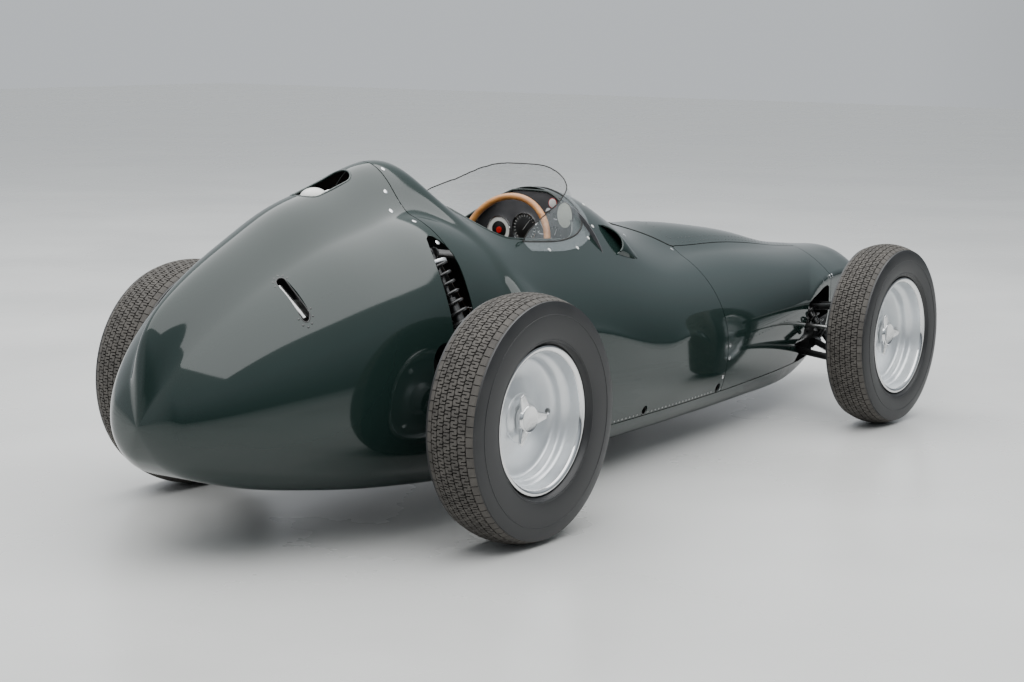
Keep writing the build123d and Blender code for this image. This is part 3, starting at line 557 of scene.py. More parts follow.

# painted shade: the belly between the cutouts is black, for the shade under the nose
skins["bellyPan"].data.materials.append(paint["blackEnamel"])
for face in skins["bellyPan"].data.polygons:
    if face.center.y < at(cutout["shadeBlackUntil"]):
        face.material_index = 2

port = {
    "low": (-0.135, 0.225), "high": (0.125, 0.560), "corner": 0.060,
    "inner": 0.200, "outer": 0.6,
    "slot": [(-0.060, 0.480), (-0.070, 0.560), (-0.075, 0.640), (-0.077, 0.700),
             (-0.082, 0.760), (-0.083, 0.792), (-0.078, 0.815), (-0.066, 0.835),
             (-0.050, 0.848), (-0.034, 0.850), (-0.018, 0.842), (-0.005, 0.822),
             (0.006, 0.797), (0.015, 0.770), (0.021, 0.730), (0.025, 0.680), (0.026, 0.620),
             (0.026, 0.480)],
}
for panel in (cockpitSkin, tailSkin):
    for side in (1, -1):
        reach = sorted((side * port["inner"], side * port["outer"]))
        low, high = port["low"], port["high"]
        outline = roundedOutline((at(low[0]), low[1]), (at(high[0]), high[1]),
                                 [port["corner"]] * 4)
        slot = [(at(aft), z) for aft, z in port["slot"]]
        cutAway(panel, [outlineCutter(outline, *reach, "x"), outlineCutter(slot, *reach, "x")])

cockpitHole = {"half": 0.262, "front": -0.950, "rear": -0.330, "frontRadius": 0.200,
               "rearRadius": 0.150}
holeOutline = roundedOutline((-cockpitHole["half"], at(cockpitHole["front"])),
                             (cockpitHole["half"], at(cockpitHole["rear"])),
                             [cockpitHole["frontRadius"]] * 2 + [cockpitHole["rearRadius"]] * 2, 14)
cutAway(cockpitSkin, [outlineCutter(holeOutline, 0.56, 1.3, "z")])

fillerHole = {"aft": 0.120, "length": 0.215, "width": 0.096}
halfLength, halfWidth = fillerHole["length"] / 2, fillerHole["width"] / 2
fillerOutline = roundedOutline((-halfWidth, at(fillerHole["aft"] - halfLength)),
                               (halfWidth, at(fillerHole["aft"] + halfLength)), [halfWidth] * 4, 14)
cutAway(tailSkin, [outlineCutter(fillerOutline, 0.88, 1.3, "z")])

# round holes for the jacks, and a slot across each upper flank of the tail
jacks = {"afts": (-1.036, -1.564), "z": 0.198, "radius": 0.0165, "reach": 0.6}
for aft in jacks["afts"]:
    cutAway(cockpitSkin, [bar((-jacks["reach"], at(aft), jacks["z"]),
                              (jacks["reach"], at(aft), jacks["z"]), jacks["radius"], 32)])
tailSlot = {"x": 0.216, "aft": 0.488, "run": 0.092, "width": 0.030, "turn": 5}


def tailSlotOutline(side, grow=0.0, steps=10):
    half = tailSlot["width"] / 2 + grow
    turn = radians(tailSlot["turn"]) * side
    outline = []
    for end in (1, -1):
        for i in range(steps + 1):
            angle = pi * i / steps - end * pi / 2
            x = end * tailSlot["run"] / 2 + half * cos(angle)
            y = half * sin(angle)
            outline.append((side * tailSlot["x"] + x * cos(turn) - y * sin(turn),
                            at(tailSlot["aft"]) + x * sin(turn) + y * cos(turn)))
    return outline


for side in (1, -1):
    cutAway(tailSkin, [outlineCutter(tailSlotOutline(side), 0.56, 1.0, "z")])

for name, skin in skins.items():
    finishPiece(smooth(skin), name, None, panels[name][0])

print("wheels")
wheelPlaces = {
    "front_left": (1, 0.670, frontAxle, 0.334, 0.164, 71),
    "front_right": (-1, 0.670, frontAxle, 0.334, 0.164, 71),
    "rear_left": (1, 0.645, rearAxle, 0.358, 0.180, 76),
    "rear_right": (-1, 0.645, rearAxle, 0.358, 0.180, 76),
}
rimShape = {
    # (outboard of the middle plane, radius), round the whole wall
    "outline": [
        (0.0705, 0.2135), (0.066, 0.2145), (0.0625, 0.2125), (0.0605, 0.2065), (0.059, 0.203),
        (0.030, 0.2005), (0.020, 0.1985), (0.013, 0.1800), (0.008, 0.1775), (-0.016, 0.1775),
        (-0.021, 0.1800), (-0.028, 0.1985), (-0.059, 0.203), (-0.0605, 0.2065),
        (-0.0625, 0.2125), (-0.066, 0.2145), (-0.0705, 0.2135), (-0.072, 0.2105),
        (-0.070, 0.2065), (-0.0675, 0.1985), (-0.065, 0.1965), (-0.034, 0.1935),
        (-0.0265, 0.1785), (-0.0240, 0.172), (-0.025, 0.160), (-0.0275, 0.140),
        (-0.028, 0.124), (-0.024, 0.104), (-0.019, 0.088), (-0.014, 0.070), (-0.024, 0.052),
        (-0.062, 0.048), (-0.062, 0.0185), (0.003, 0.0185), (0.003, 0.052), (0.0015, 0.056),
        (-0.001, 0.059), (-0.003, 0.066), (-0.0035, 0.070), (-0.0075, 0.0725), (-0.009, 0.080),
        (-0.0125, 0.092), (-0.0165, 0.104), (-0.0188, 0.114), (-0.0197, 0.124),
        (-0.0198, 0.134), (-0.0190, 0.145), (-0.0172, 0.155), (-0.0150, 0.163),
        (-0.0122, 0.169), (-0.008, 0.1725), (0.000, 0.1735), (0.0115, 0.1740), (0.0155, 0.1758),
        (0.0195, 0.182), (0.0235, 0.188),
        (0.0275, 0.1915), (0.034, 0.1930), (0.050, 0.1945), (0.062, 0.1960), (0.066, 0.1975),
        (0.069, 0.2010), (0.0712, 0.2055), (0.072, 0.2095), (0.0705, 0.2135),
    ],
    "holes": 3, "holeCircle": 0.150, "holeRadius": 0.011, "holeTurn": 118, "brightFrom": 0.1965,
}
tread = {
    "depth": 0.005, "rows": 5, "rowHalf": 0.0575, "rowGap": 0.0028, "blockGap": 0.0028,
    # the crown's arc ends this far in from the side, and this far down
    "shoulderIn": 0.017, "shoulderDrop": 0.014,
    # the outer lugs: where they start, how far in they leave the crown, and then their outer and
    # inner faces over the shoulder, as (further out, further down)
    "lugInner": 0.0590, "lugIn": 0.0165,
    "lugFace": [(0.0055, 0.0195), (0.0105, 0.0285), (0.0135, 0.0385)],
    "lugFoot": [(0, 0.022), (0.001, 0.026), (0.005, 0.033), (0.0105, 0.0385)],
    "bead": [(0.058, 0.2065), (0.0605, 0.2125), (0.0615, 0.2165), (0.0655, 0.219),
             (0.068, 0.2195), (0.0705, 0.223)],
    "wallSteps": 14, "beadRing": 0.232, "upperRing": 0.055, "ringWire": 0.0017,
    # one block: across the tread, along it, both from -1 to 1
    "block": [(-0.80, -1.0), (0.72, -1.0), (1.0, -0.74), (1.0, 0.06), (0.80, 0.27), (-0.22, 0.27),
              (-0.30, 0.42), (-0.16, 0.53), (0.98, 0.53), (1.0, 0.62), (0.80, 1.0), (-0.72, 1.0),
              (-1.0, 0.74), (-1.0, -0.06), (-0.80, -0.27), (0.22, -0.27), (0.30, -0.42),
              (0.16, -0.53), (-0.98, -0.53), (-1.0, -0.62)],
}


def treadRadius(x, radius, width):
    # the tyre's crown is one arc through its middle and both shoulders
    half, drop = width / 2 - tread["shoulderIn"], tread["shoulderDrop"]
    bend = (half ** 2 + drop ** 2) / (2 * drop)
    return radius - bend + sqrt(max(bend ** 2 - x ** 2, 0))


def tyreProfile(radius, width):
    bulge = width / 2
    shoulderX, shoulderR = bulge - tread["shoulderIn"], radius - tread["shoulderDrop"]
    middle = (0.214 + shoulderR) / 2 + 0.008
    half = list(tread["bead"])
    for i in range(1, tread["wallSteps"] + 1):
        turn = -1.02 + 1.98 * i / tread["wallSteps"]
        x = bulge - 0.0245 + 0.0245 * cos(turn * 0.78)
        r = middle + (shoulderR - 0.004 - middle) * sin(turn) / sin(0.96) if turn > 0 else \
            middle + (middle - 0.222) * sin(turn) / sin(1.02)
        half.append((x - 0.0005, r))
    crown = [(x, treadRadius(x, radius, width) - tread["depth"])
             for x in np.linspace(shoulderX - 0.004, 0, 9)]
    half = half + crown
    return half + [(-x, r) for x, r in reversed(half[:-1])]


def treadMesh(side, middle, axleY, radius, width, count):
    points, faces = [], []
    scale = width / 0.180

    def raised(outline, turnOffset, depth):
        # outline: (across, along in radians); the block stands on the carcass
        start = len(points)
        for level in (depth + 0.002, 0):
            for x, turn in outline:
                r = treadRadius(x, radius, width) - level
                angle = turn + turnOffset
                points.append((side * (middle + x), axleY + r * sin(angle), radius + r * cos(angle)))
        n = len(outline)
        top = tuple(range(start + n, start + 2 * n))
        bottom = tuple(reversed(range(start, start + n)))
        walls = [(start + i, start + (i + 1) % n, start + n + (i + 1) % n, start + n + i)
                 for i in range(n)]
        for face in [top, bottom] + walls:
            faces.append(tuple(reversed(face)) if side < 0 else face)

    pitch = 2 * pi / count
    rowWidth = 2 * tread["rowHalf"] * scale / tread["rows"]
    halfAcross = (rowWidth - tread["rowGap"]) / 2
    halfAlong = (pitch - tread["blockGap"] / radius) / 2
    for row in range(tread["rows"]):
        centre = (row - (tread["rows"] - 1) / 2) * rowWidth
        outline = [(centre + u * halfAcross, v * halfAlong) for u, v in tread["block"]]
        for i in range(count):
            raised(outline, i * pitch + (row % 2) * pitch / 2, tread["depth"])
    inner, outer = tread["lugInner"] * scale, width / 2 - tread["lugIn"]
    for hand in (1, -1):
        lug = [(hand * inner, -halfAlong), (hand * outer, -halfAlong),
               (hand * outer, halfAlong), (hand * inner, halfAlong)]
        if hand < 0:
            lug.reverse()
        for i in range(count):
            raised(lug, i * pitch + pitch / 4, tread["depth"])
    return meshPiece("tread", points, faces)


def shoulderLugs(side, middle, axleY, radius, width, count):
    # the outer lugs carry on over the shoulder, with slots between them
    points, faces = [], []
    pitch = 2 * pi / count
    halfAlong = (pitch - tread["blockGap"] / radius) / 2
    outer = width / 2 - tread["lugIn"]
    run = [(outer, treadRadius(outer, radius, width))]
    run += [(outer + x, radius - down) for x, down in tread["lugFace"]]
    low = [(outer + x, radius - down) for x, down in tread["lugFoot"]]
    for hand in (1, -1):
        for i in range(count):
            start = len(points)
            for edge in (-halfAlong, halfAlong):
                for shape in (run, low):
                    for x, r in shape:
                        angle = edge + i * pitch + pitch / 4
                        points.append((side * (middle + hand * x), axleY + r * sin(angle),
                                       radius + r * cos(angle)))
            n = len(run)
            quads = []
            for j in range(n - 1):
                a, b = start + j, start + j + 1
                quads += [(a, b, b + 2 * n, a + 2 * n),
                          (b + n, a + n, a + 3 * n, b + 3 * n),
                          (b, a, a + n, b + n),
                          (a + 2 * n, b + 2 * n, b + 3 * n, a + 3 * n)]
            quads.append((start, start + 2 * n, start + 3 * n, start + n))
            quads.append((start + n - 1, start + 2 * n - 1, start + 4 * n - 1, start + 3 * n - 1))
            flip = (side * hand) < 0
            faces += [tuple(reversed(q)) if flip else q for q in quads]
    return meshPiece("lugs", points, faces)


def onWheel(piece, kind, name):
    side = "".join(word.title() for word in name.split("_"))
    finishPiece(piece, kind + side, None, kind + "_" + name, "wheel_" + name)


def makeTyre(name):
    side, middle, axleY, radius, width, count = wheelPlaces[name]
    centre = (side * middle, axleY, radius)
    profile = tyreProfile(radius, width)
    wall = profile + [(-0.058, 0.2065), (0.058, 0.2065)]
    carcass = coat(spun(wall, centre, side, 120), "sidewallRubber", "rubberAndSeamShade")
    edgeX = width / 2 - 0.019
    for face in carcass.data.polygons:
        offset = abs(abs(face.center.x) - middle)
        depth = sqrt((face.center.y - axleY) ** 2 + (face.center.z - radius) ** 2)
        if offset < edgeX and depth > radius - 0.03:
            face.material_index = 1
    smooth(carcass)
    blocks = coat(treadMesh(*wheelPlaces[name]), "treadRubber")
    lugs = tidyMesh(coat(shoulderLugs(*wheelPlaces[name]), "treadRubber"))
    # two thin raised rings stand on each sidewall
    rings = []
    outer = profile[:len(tread["bead"]) + tread["wallSteps"]]
    for ringRadius in (tread["beadRing"], radius - tread["upperRing"]):
        across = np.interp(ringRadius, [r for _, r in outer], [x for x, _ in outer])
        for hand in (1, -1):
            bpy.ops.mesh.primitive_torus_add(
                major_radius=ringRadius, minor_radius=tread["ringWire"], major_segments=120,
                minor_segments=8, rotation=(0, pi / 2, 0),
                location=(side * middle + hand * (across - 0.0003), axleY, radius))
            rings.append(smooth(coat(settle(bpy.context.object), "sidewallRubber"), 60))
    onWheel(joined([carcass, blocks, lugs] + rings), "tyre", name)


def makeRim(name):
    side, middle, axleY, radius = wheelPlaces[name][:4]
    centre = Vector((side * middle, axleY, radius))
    rim = spun(rimShape["outline"], centre, side, 128)
    for i in range(rimShape["holes"]):
        turn = radians(rimShape["holeTurn"]) + 2 * pi * i / rimShape["holes"]
        spot = centre + Vector((0, -cos(turn), sin(turn))) * rimShape["holeCircle"]
        through = Vector((0.05, 0, 0))
        cutAway(rim, [bar(spot - through, spot + through, rimShape["holeRadius"], 20)])
    coat(rim, "wheelAlloy", "brightMetal")
    for face in rim.data.polygons:
        depth = sqrt((face.center.y - axleY) ** 2 + (face.center.z - radius) ** 2)
        if depth > rimShape["brightFrom"]:
            face.material_index = 1
    onWheel(smooth(rim, 40), "rim", name)


spinnerShape = {
    # (outboard of the middle plane, radius), with a hollow for the end of the axle
    "body": [(0.0205, 0.0), (0.0205, 0.0188), (0.0045, 0.0188), (0.0045, 0.0420),
             (0.0070, 0.0445), (0.0160, 0.0445), (0.0200, 0.0430), (0.0235, 0.0405),
             (0.0262, 0.0385), (0.0272, 0.0368), (0.0265, 0.0348), (0.0258, 0.0)],
    "ears": 3, "turn": 62, "from": 0.030, "to": 0.083, "rootWidth": 0.044, "thick": 0.014,
    "stand": 0.0165, "tipWidth": 0.42, "tipThick": 0.6, "tipBend": 0.008, "round": 0.0045,
}


def makeSpinner(name):
    side, middle, axleY, radius = wheelPlaces[name][:4]
    shape = spinnerShape
    centre = Vector((side * middle, axleY, radius))
    parts = [spun(shape["body"], centre, side, 64)]
    run = shape["to"] - shape["from"]
    for i in range(shape["ears"]):
        turn = radians(shape["turn"]) + 2 * pi * i / shape["ears"]
        ear = cube((shape["thick"], shape["rootWidth"], run), (0, 0, shape["from"] + run / 2))
        for vertex in ear.data.vertices:
            if vertex.co.z > shape["to"] - 0.001:
                # the tip is narrow, thin and bent outboard
                vertex.co.y *= shape["tipWidth"]
                vertex.co.x = vertex.co.x * shape["tipThick"] + shape["tipBend"]
        modify(ear, "BEVEL", width=shape["round"], segments=4)
        spin = Matrix.Rotation(side * (pi / 2 - turn), 4, "X")
        flip = Matrix.Scale(-1, 4, (1, 0, 0)) if side < 0 else Matrix.Identity(4)
        shift = Matrix.Translation(centre + Vector((side * shape["stand"], 0, 0)))
        ear.data.transform(shift @ flip @ spin)
        if side < 0:
            ear.data.flip_normals()
        parts.append(ear)
    onWheel(coat(smooth(joined(parts), 40), "brightMetal"), "spinner", name)


for wheelName in wheelPlaces:
    makeTyre(wheelName)
    makeRim(wheelName)
    makeSpinner(wheelName)

print("rivets and fasteners")


def studs(name, spots, radius, height, finish, slotName, sides=10):
    # low domes standing on the skin; a spot is (aft, distance along the section)
    points, faces = [], []
    for aft, distance in spots:
        base, normal = onSkin(aft, distance), outward(aft, distance)
        side = normal.orthogonal().normalized()
        other = normal.cross(side)
        start = len(points)
        for share, lift in ((1.0, -0.0004), (1.0, 0.35 * height), (0.72, 0.8 * height),
                            (0.3, height)):
            for i in range(sides):
                turn = 2 * pi * i / sides
                points.append(base + radius * share * (cos(turn) * side + sin(turn) * other)
                              + normal * lift)
        for ring in range(3):
            low = start + ring * sides
            faces += [(low + i, low + (i + 1) % sides, low + (i + 1) % sides + sides,
                       low + i + sides) for i in range(sides)]
        faces.append(tuple(reversed(range(start, start + sides))))
        faces.append(tuple(range(start + 3 * sides, start + 4 * sides)))
    finishPiece(smooth(meshPiece(name, points, faces), 50), name, finish)


def spaced(run, pitch):
    return np.linspace(*run, int(abs(run[1] - run[0]) / pitch) + 1)


def bothSides(aft, distance):
    return [(aft, distance), (aft, -distance)]


def topSpot(x, y):
    # a point of the plan, as a spot on the skin
    aft = y - rearAxle
    return aft, float(np.sign(x)) * distanceAtX(aft, abs(x))


rivets = {
    "pitch": 0.030, "dark": (0.0027, 0.0008), "bright": (0.0031, 0.0011),
    "lidRun": (-2.66, -1.62), "lidInsets": (0.013, 0.030),
    "scuttleRun": (-0.13, 0.13), "scuttleSteps": (0.014, 0.034),
    "sideRun": (-2.16, -1.63), "sideZ": 0.370,
    "sillRun": (-1.59, -0.40), "sillPitch": 0.0235, "sillZ": 0.1885, "jackClear": 0.024,
    "portAfts": (-0.130, -0.160, -0.190, -0.215), "portZ": 0.290,
}
darkSpots, brightSpots = [], []
for aft in spaced(rivets["lidRun"], rivets["pitch"]):
    for inset in rivets["lidInsets"]:
        darkSpots += bothSides(aft, distanceAtX(aft, lidHalfAt(aft) - inset))
for reach in spaced(rivets["scuttleRun"], rivets["pitch"]):
    darkSpots += [(bonnetRear - step, reach) for step in rivets["scuttleSteps"]]
for aft in spaced(rivets["sideRun"], rivets["pitch"]):
    darkSpots += bothSides(aft, distanceAtZ(aft, rivets["sideZ"]))
for aft in spaced(rivets["sillRun"], rivets["sillPitch"]):
    if min(abs(aft - place) for place in jacks["afts"]) > rivets["jackClear"]:
        brightSpots += bothSides(aft, distanceAtZ(aft, rivets["sillZ"]))
for aft in rivets["portAfts"]:
    darkSpots += bothSides(aft, distanceAtZ(aft, rivets["portZ"]))
studs("panelRivets", darkSpots, *rivets["dark"], "blackEnamel", "green_paint")
studs("sillRivets", brightSpots, *rivets["bright"], "steel", "steel")

# quarter-turn fasteners along the seams
fasteners = {
    "size": (0.0075, 0.0016),
    # (aft, height) on the flank
    "byHeight": [(-1.585, 0.585), (-1.585, 0.397), (-1.585, 0.235), (-1.615, 0.500),
                 (-1.615, 0.300), (-2.685, 0.520), (-2.715, 0.520), (-0.055, 0.700),
                 (-0.093, 0.640), (-0.055, 0.590)],
    # (aft, x) on the top
    "byX": [(-1.578, 0.176), (-1.272, 0.170), (-0.044, 0.111), (-0.019, 0.152), (-0.049, 0.215),
            (-0.095, 0.060), (-0.050, 0.300)],
}
fastenerSpots = []
for aft, z in fasteners["byHeight"]:
    fastenerSpots += bothSides(aft, distanceAtZ(aft, z))
for aft, x in fasteners["byX"]:
    fastenerSpots += bothSides(aft, distanceAtX(aft, x))
studs("seamFasteners", fastenerSpots, *fasteners["size"], "brightMetal", "bright_metal", 18)
slotSpots = [topSpot(*spot) for side in (1, -1) for spot in tailSlotOutline(side, 0.0075, 5)]
studs("tailSlotFasteners", slotSpots, 0.0032, 0.0010, "blackEnamel", "green_paint")

print("lips of the cockpit, the nose and the filler")
lips = {"cockpit": 0.0042, "filler": 0.0036, "nose": 0.0055, "tailSlot": 0.0024,
        "drop": 0.0022, "slotDrop": 0.0016, "noseStep": 0.0035, "noseShare": 0.975,
        "noseMiddle": 0.398}


def lipAlong(name, points, radius, finish="greenPaint"):
    lip = tidyMesh(pipe(points, radius, True, 10))
    finishPiece(smooth(lip, 60), name, finish)


def onTop(outline):
    return [(x, y, topAtX(y - rearAxle, x) - lips["drop"]) for x, y in outline]


lipAlong("cockpitLip", onTop(holeOutline), lips["cockpit"])
lipAlong("fillerLip", onTop(fillerOutline), lips["filler"])
mouthAft = noseTip + lips["noseStep"]
noseRing = ringPoints(mouthAft, np.linspace(*fullRing(mouthAft), 60)[:-1])
lipAlong("noseLip", [(x * lips["noseShare"], y,
                      lips["noseMiddle"] + (z - lips["noseMiddle"]) * lips["noseShare"])
                     for x, y, z in noseRing], lips["nose"])
for side, sideName in ((1, "Left"), (-1, "Right")):
    rimLine = [tuple(onSkin(*topSpot(*spot), -lips["slotDrop"]))
               for spot in tailSlotOutline(side, 0.0, 8)]
    lipAlong("tailSlotLip" + sideName, rimLine, lips["tailSlot"], "blackEnamel")


def sealAndShadeLine(name, points, radius):
    # a black line: painted shade in an open seam, or a rubber strip
    finishPiece(smooth(pipe(points, radius), 60), name, "rubberAndSeamShade")


print("the lid's rear edge, curved over the scuttle")
lidTail = {
    # half-width of the tongue that the lid lays over the scuttle
    "edge": [(-1.614, 0.1612), (-1.590, 0.1590), (-1.579, 0.1560), (-1.540, 0.1400),
             (-1.494, 0.1200), (-1.423, 0.0840), (-1.340, 0.0480), (-1.275, 0.0220),
             (-1.246, 0.0080), (-1.240, 0.0010)],
    "lift": 0.0014, "thick": 0.0012, "rows": 44, "columns": 24,
    # the seam's black line is painted shade: its radius, its step out and its lift
    "seam": 0.0015, "seamStep": 0.0012, "seamLift": 0.0003,
}
tailAfts, tailHalves = zip(*lidTail["edge"])
points, tongueEdge = [], []
for aft in np.linspace(tailAfts[0], tailAfts[-1], lidTail["rows"] + 1):
    reach = distanceAtX(aft, np.interp(aft, tailAfts, tailHalves))
    points += [onSkin(aft, distance, lidTail["lift"])
               for distance in np.linspace(-reach, reach, lidTail["columns"] + 1)]
    tongueEdge.append((aft, reach + lidTail["seamStep"]))
tongue = meshPiece("tongue", points, gridFaces(lidTail["rows"], lidTail["columns"]))
modify(tongue, "SOLIDIFY", thickness=lidTail["thick"], offset=0)
finishPiece(smooth(tidyMesh(tongue)), "bonnetLidTongue", "greenPaint")
# the black line along the tongue's edge is painted shade in the seam
seamShadeLine = [onSkin(aft, -reach, lidTail["seamLift"]) for aft, reach in tongueEdge]
seamShadeLine += [onSkin(aft, reach, lidTail["seamLift"]) for aft, reach in reversed(tongueEdge)]
sealAndShadeLine("bonnetLidSeamShade", seamShadeLine, lidTail["seam"])

print("hooded vents on both sides of the scuttle")
vent = {"mouth": -1.056, "front": -1.215, "low": 0.352, "high": 0.232, "height": 0.026,
        "lean": 0.046, "rows": 26, "columns": 22, "thick": 0.0022, "lip": 0.0036,
        "sink": 0.0012, "arch": 0.55, "taper": 0.86}
columns, rows = vent["columns"], vent["rows"]
for side, sideName in ((1, "Left"), (-1, "Right")):
    points = []
    for row in range(rows + 1):
        along = row / rows
        for column in range(columns + 1):
            across = column / columns
            arch = sin(pi * across) ** vent["arch"]
            # the mouth leans forward in its middle, and the hood closes in a round front
            start = vent["mouth"] - vent["lean"] * arch * (1 - along)
            aft = start + (vent["front"] - start) * along
            taper = vent["taper"] * (1 - sqrt(1 - along ** 2.6))
            place = taper / 2 + across * (1 - taper)
            distance = vent["high"] + (vent["low"] - vent["high"]) * place
            lift = vent["height"] * arch * (1 - along ** 2) ** 1.2 - vent["sink"]
            points.append(onSkin(aft, side * distance, lift))
    faces = [face if side < 0 else tuple(reversed(face)) for face in gridFaces(rows, columns)]
    hood = modify(coat(meshPiece("vent", points, faces), "greenPaint"), "SOLIDIFY",
                  thickness=vent["thick"], offset=0)
    lip = smooth(coat(pipe(points[1:columns], vent["lip"]), "greenPaint"), 60)
    finishPiece(joined([smooth(hood, 45), lip]), "scuttleVent" + sideName)

print("windscreen")
screen = {
    # height, front, where the straight sides start, half-width
    "rows": [(0.740, -1.185, -0.675, 0.266), (1.010, -0.905, -0.580, 0.292)],
    "rear": -0.521, "thick": 0.003, "columns": 150, "levels": 12, "straightShare": 0.55,
    "edge": [(-1.000, 1.0025), (-0.907, 1.0025), (-0.900, 1.000), (-0.894, 0.996),
             (-0.883, 0.985), (-0.870, 0.973), (-0.860, 0.965), (-0.845, 0.953),
             (-0.832, 0.945), (-0.789, 0.929), (-0.739, 0.913), (-0.701, 0.896),
             (-0.640, 0.872), (-0.590, 0.848), (-0.550, 0.825), (-0.532, 0.805),
             (-0.520, 0.780)],
    "edging": 0.0019, "strip": 0.0034, "stripLift": 0.001,
    "flange": {"width": 0.027, "least": 0.0005, "lift": 0.0017, "thick": 0.0016,
               "shares": (0, 0.35, 0.7, 1), "roundEnd": 0.05, "middle": -0.7},
    "screws": [(-0.638, 0.292), (-0.809, 0.284), (-0.920, 0.252), (-1.006, 0.212),
               (-1.105, 0.110)],
    "screwSize": (0.0065, 0.0022),
}


def screenPlan(row, place):
    z, front, straight, half = row
    bend = screen["straightShare"]
    if abs(place) > bend:
        share = (abs(place) - bend) / (1 - bend)
        return np.array([half * np.sign(place), straight + (screen["rear"] - straight) * share, z])
    turn = place / bend * pi / 2
    return np.array([half * sin(turn), straight - (straight - front) * cos(turn), z])


screenColumns = []
edgeAft, edgeZ = zip(*screen["edge"])
places = np.linspace(-1, 1, screen["columns"] + 1)
for place in places:
    foot, head = (screenPlan(row, place) for row in screen["rows"])
    line = foot + (head - foot) * np.linspace(-0.05, 1.0, 160)[:, None]
    under = [topAtX(aft, x) for x, aft, z in line]
    below = np.nonzero(line[:, 2] < under)[0]
    base = line[below[-1]] if len(below) else line[0]
    above = np.nonzero(line[:, 2] >= np.interp(line[:, 1], edgeAft, edgeZ))[0]
    top = line[above[0]] if len(above) else line[-1]
    if top[2] < base[2] + 0.002:
        top = base + (head - foot) * 0.01
    screenColumns.append([base + (top - base) * level / screen["levels"]
                          for level in range(screen["levels"] + 1)])
points = [(x, at(aft), z) for column in screenColumns for x, aft, z in column]
sheet = meshPiece("sheet", points, gridFaces(screen["columns"], screen["levels"], True))
modify(sheet, "SOLIDIFY", thickness=screen["thick"], offset=0)
finishPiece(smooth(tidyMesh(sheet), 40), "windscreen", "clearScreen", "windscreen")
footLine, topLine = points[::screen["levels"] + 1], points[screen["levels"]::screen["levels"] + 1]
sealAndShadeLine("windscreenEdge", topLine[1:-1], screen["edging"])
sealAndShadeLine("windscreenStrip", [(x, y, z + screen["stripLift"]) for x, y, z in footLine[::2]],
     screen["strip"])

# the clear flange lies on the skin outside the foot, and its rear ends are rounded
flange = screen["flange"]
footPlan = np.array([column[0][:2] for column in screenColumns])
along = np.gradient(footPlan, axis=0)
across = np.column_stack([along[:, 1], -along[:, 0]])
across /= np.linalg.norm(across, axis=1)[:, None]
across *= np.sign((across * (footPlan - (0, flange["middle"]))).sum(axis=1))[:, None]
points = []
for (x, aft), away, place in zip(footPlan, across, places):
    close = min((1 - abs(place)) / flange["roundEnd"], 1)
    reach = flange["width"] * sqrt(1 - (1 - close) ** 2) + flange["least"]
    for share in flange["shares"]:
        spotX, spotAft = x + away[0] * reach * share, aft + away[1] * reach * share
        points.append((spotX, at(spotAft), topAtX(spotAft, spotX) + flange["lift"]))
sheet = meshPiece("flange", points, gridFaces(screen["columns"], len(flange["shares"]) - 1, True))
modify(sheet, "SOLIDIFY", thickness=flange["thick"], offset=0)
finishPiece(smooth(tidyMesh(sheet), 40), "windscreenFlange", "clearScreen")
screwSpots = []
for aft, x in screen["screws"]:
    screwSpots += bothSides(aft, distanceAtX(aft, x))
studs("windscreenScrews", screwSpots, *screen["screwSize"], "whiteEnamel", "bright_metal", 16)

print("mirror")
mirror = {
    "spot": (-0.171, -0.902, 0.842), "turn": 20,
    # (distance towards the driver, radius)
    "housing": [(-0.024, 0.0), (-0.0235, 0.010), (-0.021, 0.020), (-0.015, 0.032),
                (-0.008, 0.0405), (-0.002, 0.0435), (0.000, 0.0440), (0.0, 0.0)],
    "ring": [(-0.001, 0.0415), (0.0005, 0.0442), (0.0018, 0.0435), (0.002, 0.0415),
             (-0.001, 0.0415)],
    "glass": [(0.0003, 0.0), (0.0003, 0.0416), (0.0012, 0.0414), (0.0016, 0.0)],
    "stalkStart": 0.020, "stalkAft": -0.949, "stalkDrop": 0.012, "stalkRadius": 0.006,
}


def turnedAlongY(profile, centre, steps=48, turn=0.0):
    # profile: (distance towards the driver, radius), turned about an axle along +Y
    piece = spun(profile, Vector((0, 0, 0)), 1, steps)
    piece.data.transform(Matrix.Translation(centre) @ Matrix.Rotation(pi / 2 - turn, 4, "Z"))
    return smooth(tidyMesh(piece), 40)


mirrorX, mirrorAft, mirrorZ = mirror["spot"]
mirrorSpot = Vector((mirrorX, at(mirrorAft), mirrorZ))
mirrorTurn = radians(mirror["turn"])
housing = coat(turnedAlongY(mirror["housing"], mirrorSpot, turn=mirrorTurn), "blackEnamel")
stalkStart = mirrorSpot - Vector((sin(mirrorTurn), cos(mirrorTurn), 0)) * mirror["stalkStart"]
stalkEnd = (stalkStart.x, at(mirror["stalkAft"]), stalkStart.z - mirror["stalkDrop"])
stalk = coat(bar(stalkStart, stalkEnd, mirror["stalkRadius"], 16), "blackEnamel")
finishPiece(joined([housing, stalk]), "mirrorHousing", None, "mirror_housing")
# the glass is coloured pale grey-green as a painted reflection
for name, part, slotName, finish in (("mirrorRing", "ring", "black_metal", "blackEnamel"),
                                     ("mirrorPaintedReflection", "glass", "bright_metal", "mirrorPaintedReflection")):
    finishPiece(turnedAlongY(mirror[part], mirrorSpot, turn=mirrorTurn), name, finish)

